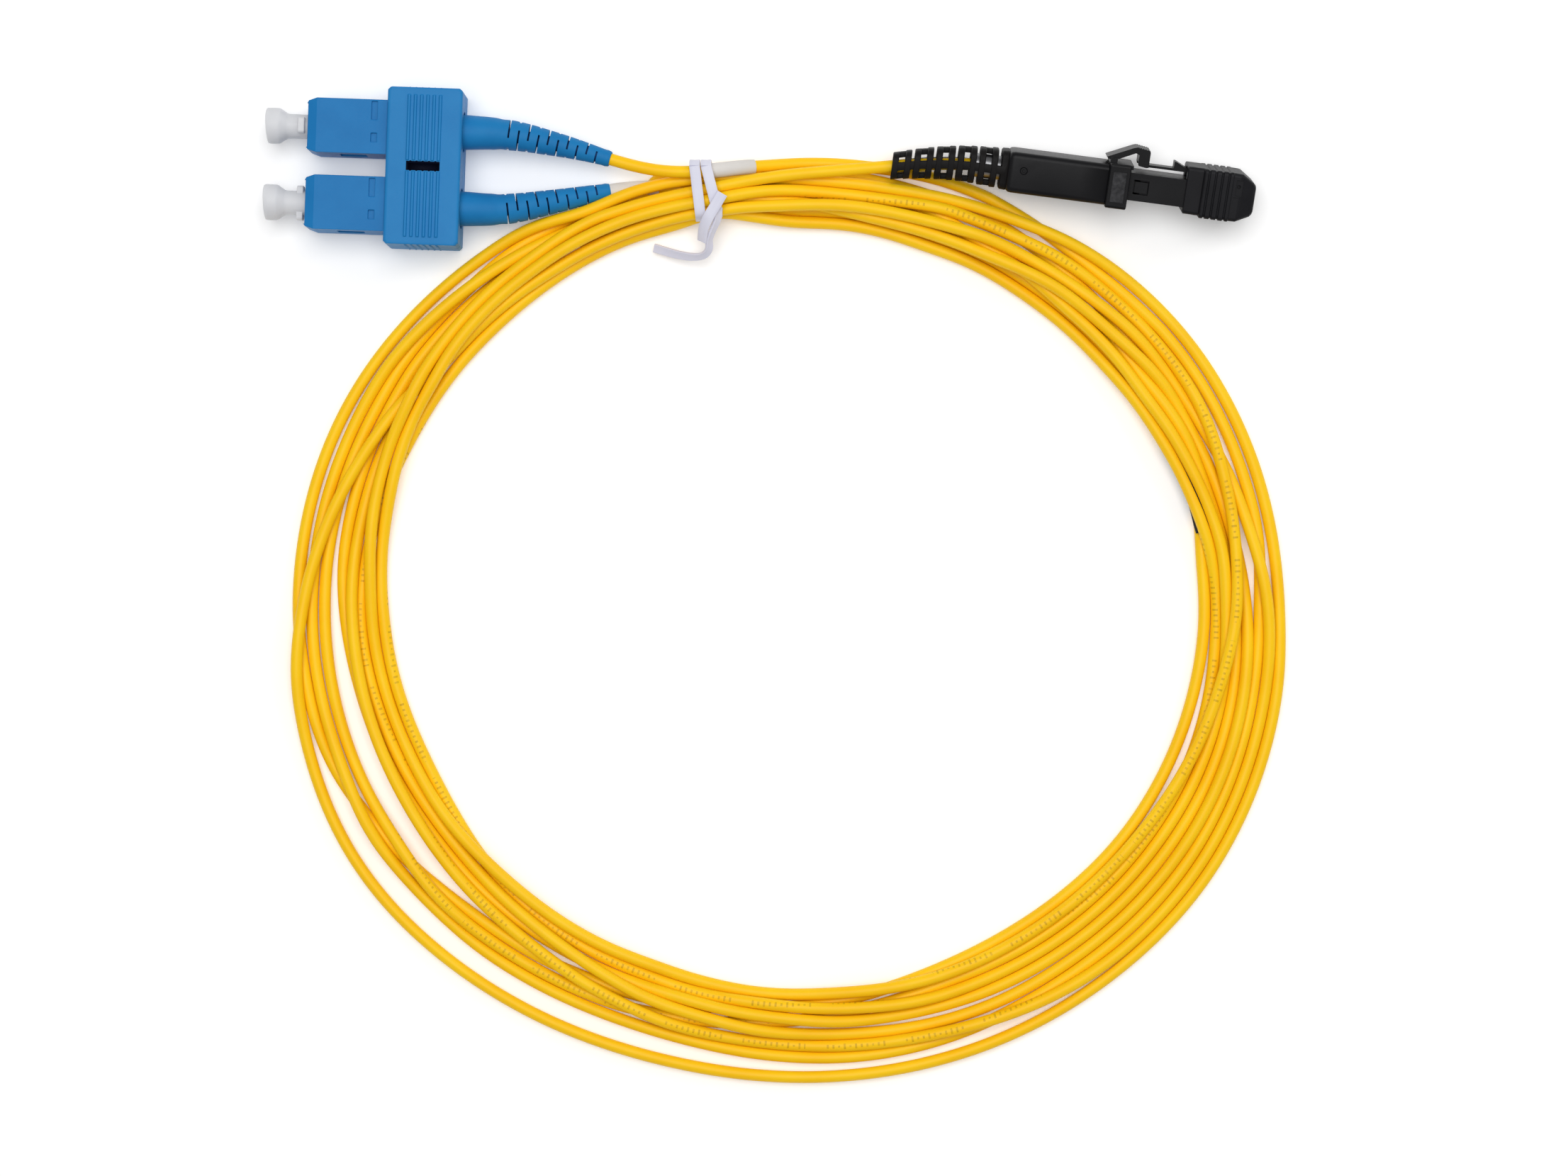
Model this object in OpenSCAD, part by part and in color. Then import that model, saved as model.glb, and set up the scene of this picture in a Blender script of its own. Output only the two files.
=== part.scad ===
// Duplex fibre optic patch cord: a clipped pair of square push-pull plugs at one end,
// a small two-fibre latching plug at the other, and the cord wound into a flat tied coil.
// The origin is the middle of the clip's bottom face. +X runs from the plug mouths to the boots.

/* [Plug pair] */
// Distance between the two plug axes
plug_pitch = 12.7; // [12.7:0.1:13.5]
// Height of both plug axes above the table
axis_z = 4.8; // [4.8:0.1:6]
// Width of one outer housing
housing_w = 8.99; // [8.9:0.01:9.1]
// Height of one outer housing
housing_h = 7.39; // [7.3:0.01:7.5]
// Housing length in front of the clip
housing_nose = 13.6; // [13:0.1:15]
// Ferrule diameter
ferrule_d = 2.5; // [2.499:0.001:2.5]

/* [Clip] */
// Length of the clip along the plugs
clip_len = 12.4; // [12:0.1:13]
// Width of the clip across both plugs
clip_w = 25.9; // [25.5:0.1:27]
// Thickness of the clip
clip_h = 9.6; // [9.6:0.1:10.5]
// Number of finger ribs on the clip
clip_ribs = 6; // [3:1:7]

/* [Boots] */
// Boot diameter at the clip
boot_d = 5.8; // [5.4:0.1:6]
// Boot diameter at the cord end
boot_tip_d = 2.9; // [2.8:0.1:3.2]
// Number of leaves on the flexible part of a boot
boot_leaves = 10; // [6:1:10]

/* [Two-fibre plug] */
// Height of the rear body
jack_body_h = 6.8; // [6.5:0.1:7.2]
// Width of the rear body
jack_body_w = 8.4; // [8:0.1:8.8]
// Width of the front plug housing
jack_plug_w = 7.2; // [7:0.1:7.4]
// Height of the front plug housing
jack_plug_h = 4.55; // [4.4:0.05:4.7]
// Roll of the plug towards its latch side
jack_roll = 14; // [0:1:20]

/* [Cord] */
// Diameter of the trunk and of each leg
cord_d = 2.0; // [1.8:0.1:2]
// Height of the tied coil
coil_h = 5.6; // [5:0.1:7]

/* [Hidden] */
$fn = 48;
eps = 0.01;
fit = 0.05;

// Stations along a plug, measured from the clip's middle
clip_rear = clip_len / 2;
clip_front = -clip_len / 2;
front = clip_front - housing_nose;
housing_rear = clip_rear - 1.9;
side_y = plug_pitch / 2;

// Inside of a plug, measured from the housing's front face
frame_front = 1.6;
shoulder_front = 5.4;
shoulder_rear = 6.3;
flange_rear = 9.4;
spring_rear = 17.0;
frame_rear = 22.6;
post_rear = 28.2;
ferrule_tip = -0.3;
frame_bore_r = 2.4;
spring_wire_d = 0.45;
spring_turns = 7;
post_r = 1.55;
crimp_t = 0.45;
crimp_r = post_r + crimp_t;

// Boots: a straight root, then a bent run of leaves
boot_start = clip_rear - 1.2;
boot_bend_start = 9.4;
boot_mid_x = 14.2;
boot_end_x = 30.6;
boot_bore_r = cord_d / 2 + fit;
boot_shift = [-3.4, 4.7];
boot_drop = [-0.9, -3.3];
boot_mid_d = 5.0;
leaf_gap = 0.36;

// The coil is an oval band: an offset outside and inside its middle line, every 15 degrees
// clockwise from the top
lay_turn = 2;
coil_centre = [60.2, -72.1];
coil_radius = [75.4, 71.1];
coil_outer = [-0.8, 0.2, 2.6, 5.4, 6.8, 7.0, 7.1, 8.7, 9.8, 10.2, 10.2, 9.9,
              9.2, 8.4, 9.0, 10.6, 11.4, 10.0, 7.2, 7.4, 7.0, 4.6, 1.6, 0.0];
coil_inner = [-6.6, -7.4, -7.9, -8.0, -7.6, -6.6, -6.2, -6.6, -6.5, -6.5, -6.2, -6.1,
              -6.5, -7.2, -7.8, -8.2, -8.9, -9.3, -8.4, -7.6, -7.2, -6.5, -5.9, -5.8];
coil_step = 15;

// Routes of the cord's free stretches, in the turned frame of the coil
leg_a_route = [[33.2, 0.7, 4.1], [36.6, -0.4, 4.8], [40.6, -1.1, 5.4], [45.8, -0.6, 5.6], [50.6, 0.2, 4.45],
               [54.2, 0.6, 3.4], [57.4, 0.9, 2.5], [61.4, 1.3, 1.6], [65.8, 1.4, 1.1], [70.2, 1.2, 1.0],
               [74.8, 0.7, 1.0], [80.0, 0.0, 1.0], [85.4, -1.2, 1.0], [90.6, -3.0, 1.0], [95.6, -5.2, 1.0],
               [100.6, -8.1, 1.0], [105.0, -11.4, 1.0], [108.6, -14.4, 1.0]];
leg_b_route = [[31.4, -2.7, 1.45], [34.8, -2.4, 1.35], [38.6, -2.4, 1.2], [42.0, -2.6, 1.4], [45.6, -3.0, 1.6],
               [49.2, -3.6, 1.4]];
trunk_route = [[46.0, -3.8, 4.4], [50.0, -2.5, 4.5], [54.0, -1.6, 4.7], [58.0, -1.0, 4.8], [62.4, -0.6, 4.9],
               [67.0, -0.4, 5.0], [72.0, 0.0, 5.0]];

// Two-fibre plug: placed by its boot root, then turned and rolled
jack_root = [96.5, 0.0];
jack_turn = -7.5;
jack_z = 5.45;
jack_body_len = 16.6;
jack_collar_len = 3.5;
jack_collar_h = 7.4;
jack_collar_w = 9.2;
jack_plug_y = 0.2;
jack_plug_rear = 9.6;
jack_nose = 34.3;
jack_pivot = [17.0, 4.25];
latch_pivot = [32.8, 3.35];
jack_cap_start = 29.4;
jack_cap_end = 41.0;
jack_cap_y = 0.65;
jack_cap_h = 8.2;
jack_cap_w = 9.0;
jack_boot_len = 19.0;
jack_boot_pairs = 5;

// ---------- placing ----------

module at_plug(side) {
    translate([0, side * side_y, axis_z]) children();
}

module along_x(x) {
    translate([x, 0, 0]) rotate([0, 90, 0]) children();
}

module in_layout() {
    rotate([0, 0, lay_turn]) children();
}

module at_jack() {
    in_layout() translate([jack_root[0], jack_root[1], jack_z])
        rotate([0, 0, jack_turn]) rotate([jack_roll, 0, 0]) children();
}

// A block centred on the plug axis between two stations
module block(x0, x1, w, h) {
    translate([x0, -w / 2, -h / 2]) cube([x1 - x0, w, h]);
}

module rod(x0, x1, r) {
    along_x(x0) cylinder(h = x1 - x0, r = r);
}

module tube(x0, x1, r_out, r_in) {
    difference() {
        rod(x0, x1, r_out);
        rod(x0 - eps, x1 + eps, r_in);
    }
}

// ---------- swept cords and springs ----------

function unit(v) = v / norm(v);
function blend_point(p0, p1, p2, p3, t) =
    0.5 * (2 * p1 + (p2 - p0) * t + (2 * p0 - 5 * p1 + 4 * p2 - p3) * t * t
           + (3 * p1 - p0 - 3 * p2 + p3) * t * t * t);
function turned(p) = [p[0] * cos(lay_turn) - p[1] * sin(lay_turn),
                      p[0] * sin(lay_turn) + p[1] * cos(lay_turn), p[2]];
function turned_all(route) = [for (p = route) turned(p)];
function direction(path, i) =
    unit(path[min(i + 1, len(path) - 1)] - path[max(i - 1, 0)]);
function ring(path, i, r, sides) =
    let (d = direction(path, i), side = unit(cross([0, 0, 1], d)), up = cross(d, side))
    [for (k = [0:sides - 1]) path[i] + r * (cos(360 * k / sides) * side + sin(360 * k / sides) * up)];

module swept_tube(path, r, sides) {
    count = len(path);
    points = [for (i = [0:count - 1]) each ring(path, i, r, sides)];
    skin = [for (i = [0:count - 2], k = [0:sides - 1])
        let (a = i * sides + k, b = i * sides + (k + 1) % sides)
        each [[a, b, a + sides], [b, b + sides, a + sides]]];
    near_end = [[for (k = [sides - 1:-1:0]) k]];
    far_end = [[for (k = [0:sides - 1]) (count - 1) * sides + k]];
    polyhedron(points, concat(skin, near_end, far_end));
}

function coil_point(x, turn, r) = [x, r * cos(turn), r * sin(turn)];
module coil_spring(x0, x1, r_out, wire_d, turns) {
    steps = 14;
    count = turns * steps;
    r = (r_out - wire_d / 2);
    rise = (x1 - x0 - wire_d) / count;
    path = [for (i = [0:count]) coil_point(x0 + wire_d / 2 + i * rise, i * 360 / steps, r)];
    sides = 6;
    points = [for (i = [0:count], k = [0:sides - 1])
        let (turn = i * 360 / steps, out = [0, cos(turn), sin(turn)])
        path[i] + wire_d / 2 * (cos(360 * k / sides) * out + sin(360 * k / sides) * [1, 0, 0])];
    skin = [for (i = [0:count - 1], k = [0:sides - 1])
        let (a = i * sides + k, b = i * sides + (k + 1) % sides)
        each [[a, a + sides, b], [b, a + sides, b + sides]]];
    near_end = [[for (k = [0:sides - 1]) k]];
    far_end = [[for (k = [sides - 1:-1:0]) count * sides + k]];
    polyhedron(points, concat(skin, near_end, far_end));
}

// ---------- duplex clip ----------

module clip_outline() {
    cut = 0.45;
    x = clip_len / 2;
    y = clip_w / 2;
    polygon([[-x, -y + cut], [-x + cut, -y], [x - cut, -y], [x, -y + cut],
             [x, y - cut], [x - cut, y], [-x + cut, y], [-x, y - cut]]);
}

peg_x = 4.5;
peg_r = 0.8;
peg_h = 1.6;
slot_len = 5.55;
slot_w = 1.63;

module clip_hollows() {
    for (side = [-1, 1]) at_plug(side) {
        block(clip_front - 1, housing_rear + fit, housing_w + 2 * fit, housing_h + 2 * fit);
        rod(housing_rear, clip_rear + 1, boot_d / 2 + 0.4);
    }
    translate([-slot_len / 2, -slot_w / 2, clip_h - 3.2]) cube([slot_len, slot_w, 4]);
}

module clip_lower_half() color([0.19, 0.51, 0.75]) {
    difference() {
        linear_extrude(axis_z) clip_outline();
        clip_hollows();
    }
    for (x = [-peg_x, peg_x]) translate([x, 0, axis_z - eps]) cylinder(h = peg_h + eps, r = peg_r);
}

module clip_upper_half() color([0.19, 0.51, 0.75]) {
    rib_pitch = 1.03;
    rib_w = 0.45;
    rib_h = 0.3;
    difference() {
        translate([0, 0, axis_z]) linear_extrude(clip_h - axis_z) clip_outline();
        clip_hollows();
        for (x = [-peg_x, peg_x])
            translate([x, 0, axis_z - eps]) cylinder(h = peg_h + 0.3, r = peg_r + 0.02);
    }
    for (i = [0:clip_ribs - 1], side = [-1, 1])
        translate([(i - (clip_ribs - 1) / 2) * rib_pitch - rib_w / 2, side * 6.3 - 5.4, clip_h - eps])
            cube([rib_w, 10.8, rib_h]);
}

// ---------- square push-pull plug ----------

module housing_outline(half) {
    bevel_far = 1.9;
    bevel_near = 0.5;
    polygon([[front, -half + 1.05], [front + bevel_near, -half + 0.45], [front + bevel_far, -half],
             [housing_rear, -half], [housing_rear, half], [front + bevel_far, half],
             [front + bevel_near, half - 0.45], [front, half - 1.05]]);
}

module outer_housing(side) color([0.16, 0.48, 0.72]) at_plug(side) {
    key_w = 2.6;
    key_h = 0.9;
    window_x = front + 5.6;
    difference() {
        union() {
            intersection() {
                translate([0, 0, -housing_h / 2]) linear_extrude(housing_h) housing_outline(housing_w / 2);
                translate([0, housing_w / 2, 0]) rotate([90, 0, 0])
                    linear_extrude(housing_w) housing_outline(housing_h / 2);
            }
            translate([front + 2.2, -key_w / 2, -housing_h / 2 - key_h]) cube([7.5, key_w, key_h + 0.4]);
        }
        block(front - 1, housing_rear + 1, 7.2, 6.1);
        translate([window_x, -housing_w, -1.5]) cube([4.4, 2 * housing_w, 3.0]);
        for (y = [[1.1, 4.2], [-2.6, -1.05]])
            translate([clip_front - 2.7, y[0], housing_h / 2 - 0.4]) cube([1.05, y[1] - y[0], 1]);
    }
}

module plug_frame(side) color([0.16, 0.48, 0.72]) at_plug(side) {
    difference() {
        union() {
            block(front + frame_front, front + frame_rear, 6.6, 5.5);
            for (turn = [0, 180]) rotate([turn, 0, 0])
                translate([front + 7.5, 3.2, -1.1]) cube([2.0, 0.9, 2.2]);
        }
        rod(front, front + shoulder_front, frame_bore_r);
        rod(front, front + frame_rear, 1.7);
        rod(front + shoulder_rear, front + frame_rear + 1, frame_bore_r + 0.1);
    }
}

module ferrule(side) color("white") at_plug(side) {
    tip_cut = 0.25;
    along_x(front + ferrule_tip) rotate_extrude()
        polygon([[0, 0], [ferrule_d / 2 - tip_cut, 0], [ferrule_d / 2, tip_cut],
                 [ferrule_d / 2, 9.0], [0, 9.0]]);
}

module ferrule_flange(side) color("silver") at_plug(side) {
    difference() {
        union() {
            rod(front + shoulder_rear + 0.1, front + flange_rear, 2.2);
            rod(front + flange_rear - eps, front + flange_rear + 3.4, 1.35);
        }
        rod(front + shoulder_rear, front + ferrule_tip + 9.0, ferrule_d / 2);
        rod(front + ferrule_tip + 8.9, front + flange_rear + 4, 0.65);
    }
}

module ferrule_spring(side) color("silver") at_plug(side)
    coil_spring(front + flange_rear, front + spring_rear, 2.15, spring_wire_d, spring_turns);

module back_post(side) color("silver") at_plug(side) {
    difference() {
        union() {
            rod(front + spring_rear, front + frame_rear, frame_bore_r + 0.1);
            rod(front + frame_rear - eps, front + frame_rear + 0.6, 2.9);
            rod(front + frame_rear, front + post_rear, post_r);
        }
        rod(front + spring_rear - 1, front + post_rear + 1, 0.75);
    }
}

module crimp_ring(side) color("silver") at_plug(side)
    tube(front + frame_rear + 0.9, front + post_rear + 1.0, crimp_r, post_r);

module buffered_fibre(side) color([0.93, 0.9, 0.82]) at_plug(side)
    rod(front + flange_rear + 1.4, front + post_rear + 1.0, 0.45);

// How far the boot's axis has moved sideways and down at a station
function boot_part(x) = pow(max(0, (x - boot_bend_start) / (boot_end_x - boot_bend_start)), 1.8);
function boot_point(side, x) =
    let (which = side > 0 ? 0 : 1, part = boot_part(x))
    [x, side * side_y + boot_shift[which] * part, axis_z + boot_drop[which] * part];
function boot_width(x) =
    x < boot_mid_x ? boot_d - (boot_d - boot_mid_d) * (x - clip_rear) / (boot_mid_x - clip_rear)
                   : boot_mid_d - (boot_mid_d - boot_tip_d) * (x - boot_mid_x) / (boot_end_x - boot_mid_x);

// A rod from one point to another
module link(p, q, r) {
    d = q - p;
    translate(p) rotate([0, acos(d[2] / norm(d)), atan2(d[1], d[0])]) cylinder(h = norm(d), r = r);
}

module boot_body(side) {
    leaf_pitch = (boot_end_x - boot_mid_x) / boot_leaves;
    translate([0, side * side_y, axis_z]) {
        rod(boot_start, clip_rear + 0.6, boot_d / 2);
        rod(clip_rear + 0.5, boot_bend_start + 0.8, boot_d / 2 - 0.12);
    }
    for (i = [0:2]) {
        x = boot_bend_start + 0.2 + i * 1.6;
        link(boot_point(side, x), boot_point(side, x + 1.6 + 0.3), boot_width(x) / 2 - 0.05 - 0.05 * i);
    }
    for (i = [0:boot_leaves - 1]) {
        x = boot_mid_x + i * leaf_pitch;
        link(boot_point(side, x + leaf_gap), boot_point(side, x + leaf_pitch), boot_width(x) / 2);
        link(boot_point(side, x - 0.4), boot_point(side, x + leaf_gap + 0.3), boot_width(x) * 0.41);
    }
}

module boot(side) color([0.15, 0.45, 0.68]) {
    bore_pitch = 1.8;
    bores = ceil((boot_end_x + 0.6 - boot_bend_start) / bore_pitch);
    difference() {
        boot_body(side);
        at_plug(side) {
            rod(boot_start - 1, front + post_rear + 1.2, crimp_r + 0.02);
            rod(boot_start, boot_bend_start + 0.4, boot_bore_r + 0.1);
        }
        for (i = [0:bores - 1]) {
            x = boot_bend_start + i * bore_pitch;
            link(boot_point(side, x), boot_point(side, x + bore_pitch + 0.3), boot_bore_r + 0.04 * (i % 2));
        }
    }
}

module dust_cap(side) color([0.86, 0.86, 0.87, 0.8]) at_plug(side) {
    bore_r = ferrule_d / 2 + 0.03;
    difference() {
        union() {
            along_x(front - 6.7) rotate_extrude()
                polygon([[0, 0], [2.45, 0], [2.85, 0.5], [2.85, 2.6], [2.0, 3.7], [2.0, 11.0], [0, 11.0]]);
            rotate([side > 0 ? 90 : 0, 0, 0]) block(front - 1.3, front - 0.2, 5.7, 2.6);
        }
        rod(front - 0.7, front + 5, bore_r);
    }
}

// ---------- two-fibre plug ----------
// Its own axes: +X towards the mouth, +Y towards the latch, Z across

module side_block(x0, x1, y0, y1, w) {
    translate([x0, y0, -w / 2]) cube([x1 - x0, y1 - y0, w]);
}

// A flat shape drawn in X and Y, with a width across
module slab(w) {
    translate([0, 0, -w / 2]) linear_extrude(w) children();
}

plug_low = jack_plug_y - jack_plug_h / 2;
plug_high = jack_plug_y + jack_plug_h / 2;

module jack_plug_housing() color([0.13, 0.13, 0.14]) at_jack() difference() {
    union() {
        side_block(jack_plug_rear, jack_nose, plug_low, plug_high, jack_plug_w);
        side_block(latch_pivot[0] - 0.7, latch_pivot[0] + 0.9, plug_high - eps, latch_pivot[1] + 0.75, 3.4);
    }
    side_block(jack_plug_rear - 1, 26.0, jack_plug_y - 1.75, jack_plug_y + 1.75, 6.3);
    side_block(25.9, jack_nose + 1, jack_plug_y - 1.3, jack_plug_y + 1.3, 4.5);
    side_block(20.9, 23.4, jack_plug_y - 1.2, jack_plug_y + 1.2, jack_plug_w + 1);
    translate([latch_pivot[0], latch_pivot[1], -2]) cylinder(h = 4, r = 0.45);
    side_block(latch_pivot[0] - 1, latch_pivot[0], latch_pivot[1] - 0.33, latch_pivot[1] + 0.8, 4);
}

module jack_latch_arm() color([0.13, 0.13, 0.14]) at_jack() {
    arm_t = 0.4;
    slab(2.8) {
        translate([21.6, latch_pivot[1] + 0.1]) square([latch_pivot[0] - 21.6, arm_t]);
        polygon([[27.2, latch_pivot[1] + 0.3], [27.2, 4.95], [27.5, 4.95], [29.8, 3.85], [30.2, 3.6]]);
    }
    translate([latch_pivot[0], latch_pivot[1], -1.4]) cylinder(h = 2.8, r = 0.4);
}

module jack_latch_collar() color([0.13, 0.13, 0.14]) at_jack() {
    x0 = jack_body_len;
    x1 = jack_body_len + jack_collar_len;
    difference() {
        union() {
            side_block(x0, x1, -jack_collar_h / 2, jack_collar_h / 2, jack_collar_w);
            side_block(x0, x0 + 1.2, jack_collar_h / 2 - eps, jack_pivot[1] - 0.25, 5.4);
        }
        side_block(x0 - 1, x1 + 1, plug_low - fit, plug_high + fit, jack_plug_w + 2 * fit);
        translate([jack_pivot[0], jack_pivot[1], -3]) cylinder(h = 6, r = 0.5);
    }
}

module jack_release_trigger() color([0.13, 0.13, 0.14]) at_jack() {
    difference() {
        slab(5.0) polygon([[15.9, 4.45], [20.2, 6.45], [20.7, 6.6], [22.9, 6.25], [23.0, 5.9], [23.0, 3.5],
                           [22.6, 3.4], [21.3, 3.6], [21.2, 4.0], [21.2, 5.4], [20.6, 5.6],
                           [17.9, 4.3], [17.2, 4.2], [16.2, 4.2]]);
        side_block(21, 23.5, 3, latch_pivot[1] + 0.73, 3.2);
    }
    translate([jack_pivot[0], jack_pivot[1], -2.5]) cylinder(h = 5, r = 0.44);
}

module jack_rear_body() color([0.13, 0.13, 0.14]) at_jack() difference() {
    side_block(0, jack_body_len, -jack_body_h / 2, jack_body_h / 2, jack_body_w);
    side_block(1.4, jack_body_len + 1, -jack_body_h / 2 + 0.8, jack_body_h / 2 - 0.8, jack_body_w - 1.1);
    rod(-1, 3, 2.5);
}

module jack_ferrule() color([0.2, 0.2, 0.22]) at_jack() difference() {
    union() {
        side_block(26.3, jack_nose + 0.3, jack_plug_y - 1.22, jack_plug_y + 1.22, 4.4);
        side_block(23.8, 25.8, jack_plug_y - 1.5, jack_plug_y + 1.5, 4.7);
        side_block(25.7, 26.4, jack_plug_y - 1.22, jack_plug_y + 1.22, 4.4);
    }
    for (z = [-1.3, 1.3]) translate([jack_nose - 3, jack_plug_y, z]) rod(0, 4, 0.35);
    side_block(23, 25.2, jack_plug_y - 0.8, jack_plug_y + 0.8, 2.4);
}

module jack_ferrule_spacer() color("dimgray") at_jack() difference() {
    side_block(22.0, 23.8, jack_plug_y - 1.4, jack_plug_y + 1.4, 4.6);
    side_block(21, 25, jack_plug_y - 0.8, jack_plug_y + 0.8, 2.4);
}

module jack_ferrule_spring() color("silver") at_jack() translate([0, jack_plug_y, 0])
    coil_spring(14.0, 22.0, 1.65, 0.35, spring_turns);

module jack_spring_push() color([0.13, 0.13, 0.14]) at_jack() difference() {
    union() {
        side_block(9.5, 14.0, jack_plug_y - 1.7, jack_plug_y + 1.7, 6.2);
        rod(1.4, 8.0, 2.45);
        side_block(7.6, jack_plug_rear - fit, -2.5, 2.5, 7.2);
        rod(-4.6, 1.5, post_r);
        for (side = [-1, 1]) scale([1, 1, side]) {
            translate([13.9, jack_plug_y - 0.9, 2.5]) cube([9.3, 1.8, 0.6]);
            translate([21.1, jack_plug_y - 0.9, 2.5]) cube([2.1, 1.8, 1.0]);
        }
    }
    rod(-5, 8.5, 0.8);
    translate([0, jack_plug_y, 0]) rod(8.4, 15, 0.9);
}

module jack_crimp_ring() color("silver") at_jack() tube(-5.4, -0.2, crimp_r, post_r);

module jack_fibre_pair() color([0.93, 0.9, 0.82]) at_jack() for (z = [-0.3, 0.3])
    translate([0, jack_plug_y / 2, z]) rod(-5.2, 21.5, 0.25);

// How far the two-fibre plug's boot has bent sideways at a station behind its root
jack_boot_bend = -2.0;
jack_boot_bend_start = -5.6;
jack_boot_bend_gap = 5.2;
function jack_bend_part(x) =
    pow(max(0, (x - jack_boot_bend_start) / (-jack_boot_len - jack_boot_bend_start)), 1.7);
function jack_boot_point(x) = [x, jack_boot_bend * jack_bend_part(x), 0];
function jack_boot_r(x) = 3.35 + 1.15 * x / jack_boot_len;

module jack_boot() color([0.13, 0.13, 0.14]) at_jack() {
    pair_pitch = 3.55;
    plate_t = 0.85;
    window = 1.25;
    last = jack_boot_pairs - 1;
    difference() {
        union() {
            rod(-jack_boot_bend_gap, 1.4, 2.45);
            rod(-1.2, -0.01, 3.2);
            for (i = [0:last - 1]) {
                x = -jack_boot_len + 0.1 + i * pair_pitch;
                link(jack_boot_point(x), jack_boot_point(x + pair_pitch + 0.5), 1.6 + 0.06 * (i % 2));
            }
            for (i = [0:last], k = [0, 1]) {
                x = -jack_boot_len + i * pair_pitch + k * (plate_t + window);
                link(jack_boot_point(x), jack_boot_point(x + plate_t), jack_boot_r(x));
            }
        }
        rod(-5.6, 2, crimp_r + 0.02);
        rod(-6.4, -5, boot_bore_r + 0.12);
        for (i = [0:last - 1]) {
            x = -jack_boot_len - 0.9 + i * pair_pitch;
            link(jack_boot_point(x), jack_boot_point(x + pair_pitch + 0.4), boot_bore_r + 0.05 * (i % 2));
        }
    }
}

module jack_dust_cap() color([0.12, 0.12, 0.13]) at_jack() {
    low = jack_cap_y - jack_cap_h / 2;
    high = jack_cap_y + jack_cap_h / 2;
    wall = 0.5;
    cavity_end = jack_nose + 0.6;
    difference() {
        intersection() {
            slab(jack_cap_w) polygon([[jack_cap_start, low + 0.7], [jack_cap_start + 1, low],
                [jack_cap_end - 3.6, low], [jack_cap_end - 0.4, low + 2.2], [jack_cap_end, high - 3],
                [jack_cap_end - 2.4, high], [jack_cap_start, high]]);
            translate([0, high + 1, 0]) rotate([90, 0, 0]) linear_extrude(jack_cap_h + 2)
                polygon([[jack_cap_start, -3.9], [jack_cap_start + 1, -jack_cap_w / 2],
                    [jack_cap_end - 2.6, -jack_cap_w / 2], [jack_cap_end, -3.0],
                    [jack_cap_end, 3.0], [jack_cap_end - 2.6, jack_cap_w / 2],
                    [jack_cap_start + 1, jack_cap_w / 2], [jack_cap_start, 3.9]]);
        }
        side_block(jack_cap_start - 1, cavity_end, plug_low - fit, plug_high + fit, jack_plug_w + 2 * fit);
        side_block(jack_cap_start - 1, cavity_end, plug_high, high - wall, 4.0);
    }
}

// ---------- coil, leads and what is on them ----------

function wave(list, turn) =
    let (n = len(list), s = turn / coil_step, i = floor(s), t = s - i)
    blend_point(list[(i - 1 + n) % n], list[i % n], list[(i + 1) % n], list[(i + 2) % n], t);
function oval(turn, offset) =
    coil_centre + [(coil_radius[0] + offset) * sin(turn), (coil_radius[1] + offset) * cos(turn)];
function band(list) = [for (turn = [0:3:357]) oval(turn, wave(list, turn))];

tie_turn = 349.5;
tie_w = 1.8;
tie_low = -6.3;
tie_high = 3.7;
tie_h = 7.2;
tie_t = 0.45;
sleeve_turn = 71;
sleeve_offset = -4.7;
sleeve_r = 1.7;
sleeve_len = 22;

module at_coil(turn, offset) {
    spot = oval(turn, offset);
    translate([spot[0], spot[1], 0]) rotate([0, 0, -turn]) children();
}

module coil() color([1.0, 0.78, 0.15]) in_layout() difference() {
    linear_extrude(coil_h) difference() {
        polygon(band(coil_outer));
        polygon(band(coil_inner));
    }
    at_coil(tie_turn, 0) {
        translate([-tie_w / 2 - 0.3, -12, -1]) cube([tie_w + 0.6, 24, 1 + tie_t]);
        translate([-tie_w / 2 - 0.3, -12, coil_h - 0.2]) cube([tie_w + 0.6, 24, 1]);
    }
    at_coil(sleeve_turn, sleeve_offset)
        translate([-sleeve_len / 2 - 0.3, -12, -1]) cube([sleeve_len + 0.6, 12 + sleeve_r, 2 * sleeve_r + 0.95]);
}

module leg_a() color([1.0, 0.78, 0.15])
    swept_tube(concat([for (x = [front + post_rear + 1.3:2.6:boot_end_x]) boot_point(1, x)],
                      turned_all(leg_a_route)), cord_d / 2, 8);

module leg_b() color([1.0, 0.78, 0.15])
    swept_tube(concat([for (x = [front + post_rear + 1.3:2.6:boot_end_x]) boot_point(-1, x)],
                      turned_all(leg_b_route)), cord_d / 2, 8);

// The trunk's last stretch, from the coil through the two-fibre plug's boot to its crimp ring
function in_jack(p) =
    let (y = p[1] * cos(jack_roll), z = p[1] * sin(jack_roll),
         q = [p[0] * cos(jack_turn) - y * sin(jack_turn), p[0] * sin(jack_turn) + y * cos(jack_turn)])
    [jack_root[0] + q[0], jack_root[1] + q[1], jack_z + z];
jack_boot_path = [for (x = [-jack_boot_len:2.6:-5.7]) in_jack(jack_boot_point(x))];

module trunk() color([1.0, 0.78, 0.15])
    swept_tube(turned_all(concat(trunk_route, jack_boot_path)), cord_d / 2, 8);

// A short straight sleeve on a cord, from one point of its route to another
module sleeve_on(p, q) {
    beyond = 0.5 * unit(q - p);
    difference() {
        link(p, q, cord_d / 2 + 0.2);
        link(p - beyond, q + beyond, cord_d / 2 + 0.06);
    }
}

module label_sleeve_a() color([0.9, 0.89, 0.87]) in_layout()
    sleeve_on((leg_a_route[3] + leg_a_route[4]) / 2, leg_a_route[5]);

module label_sleeve_b() color([0.9, 0.89, 0.87]) in_layout()
    sleeve_on(leg_b_route[0], leg_b_route[2]);

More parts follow.
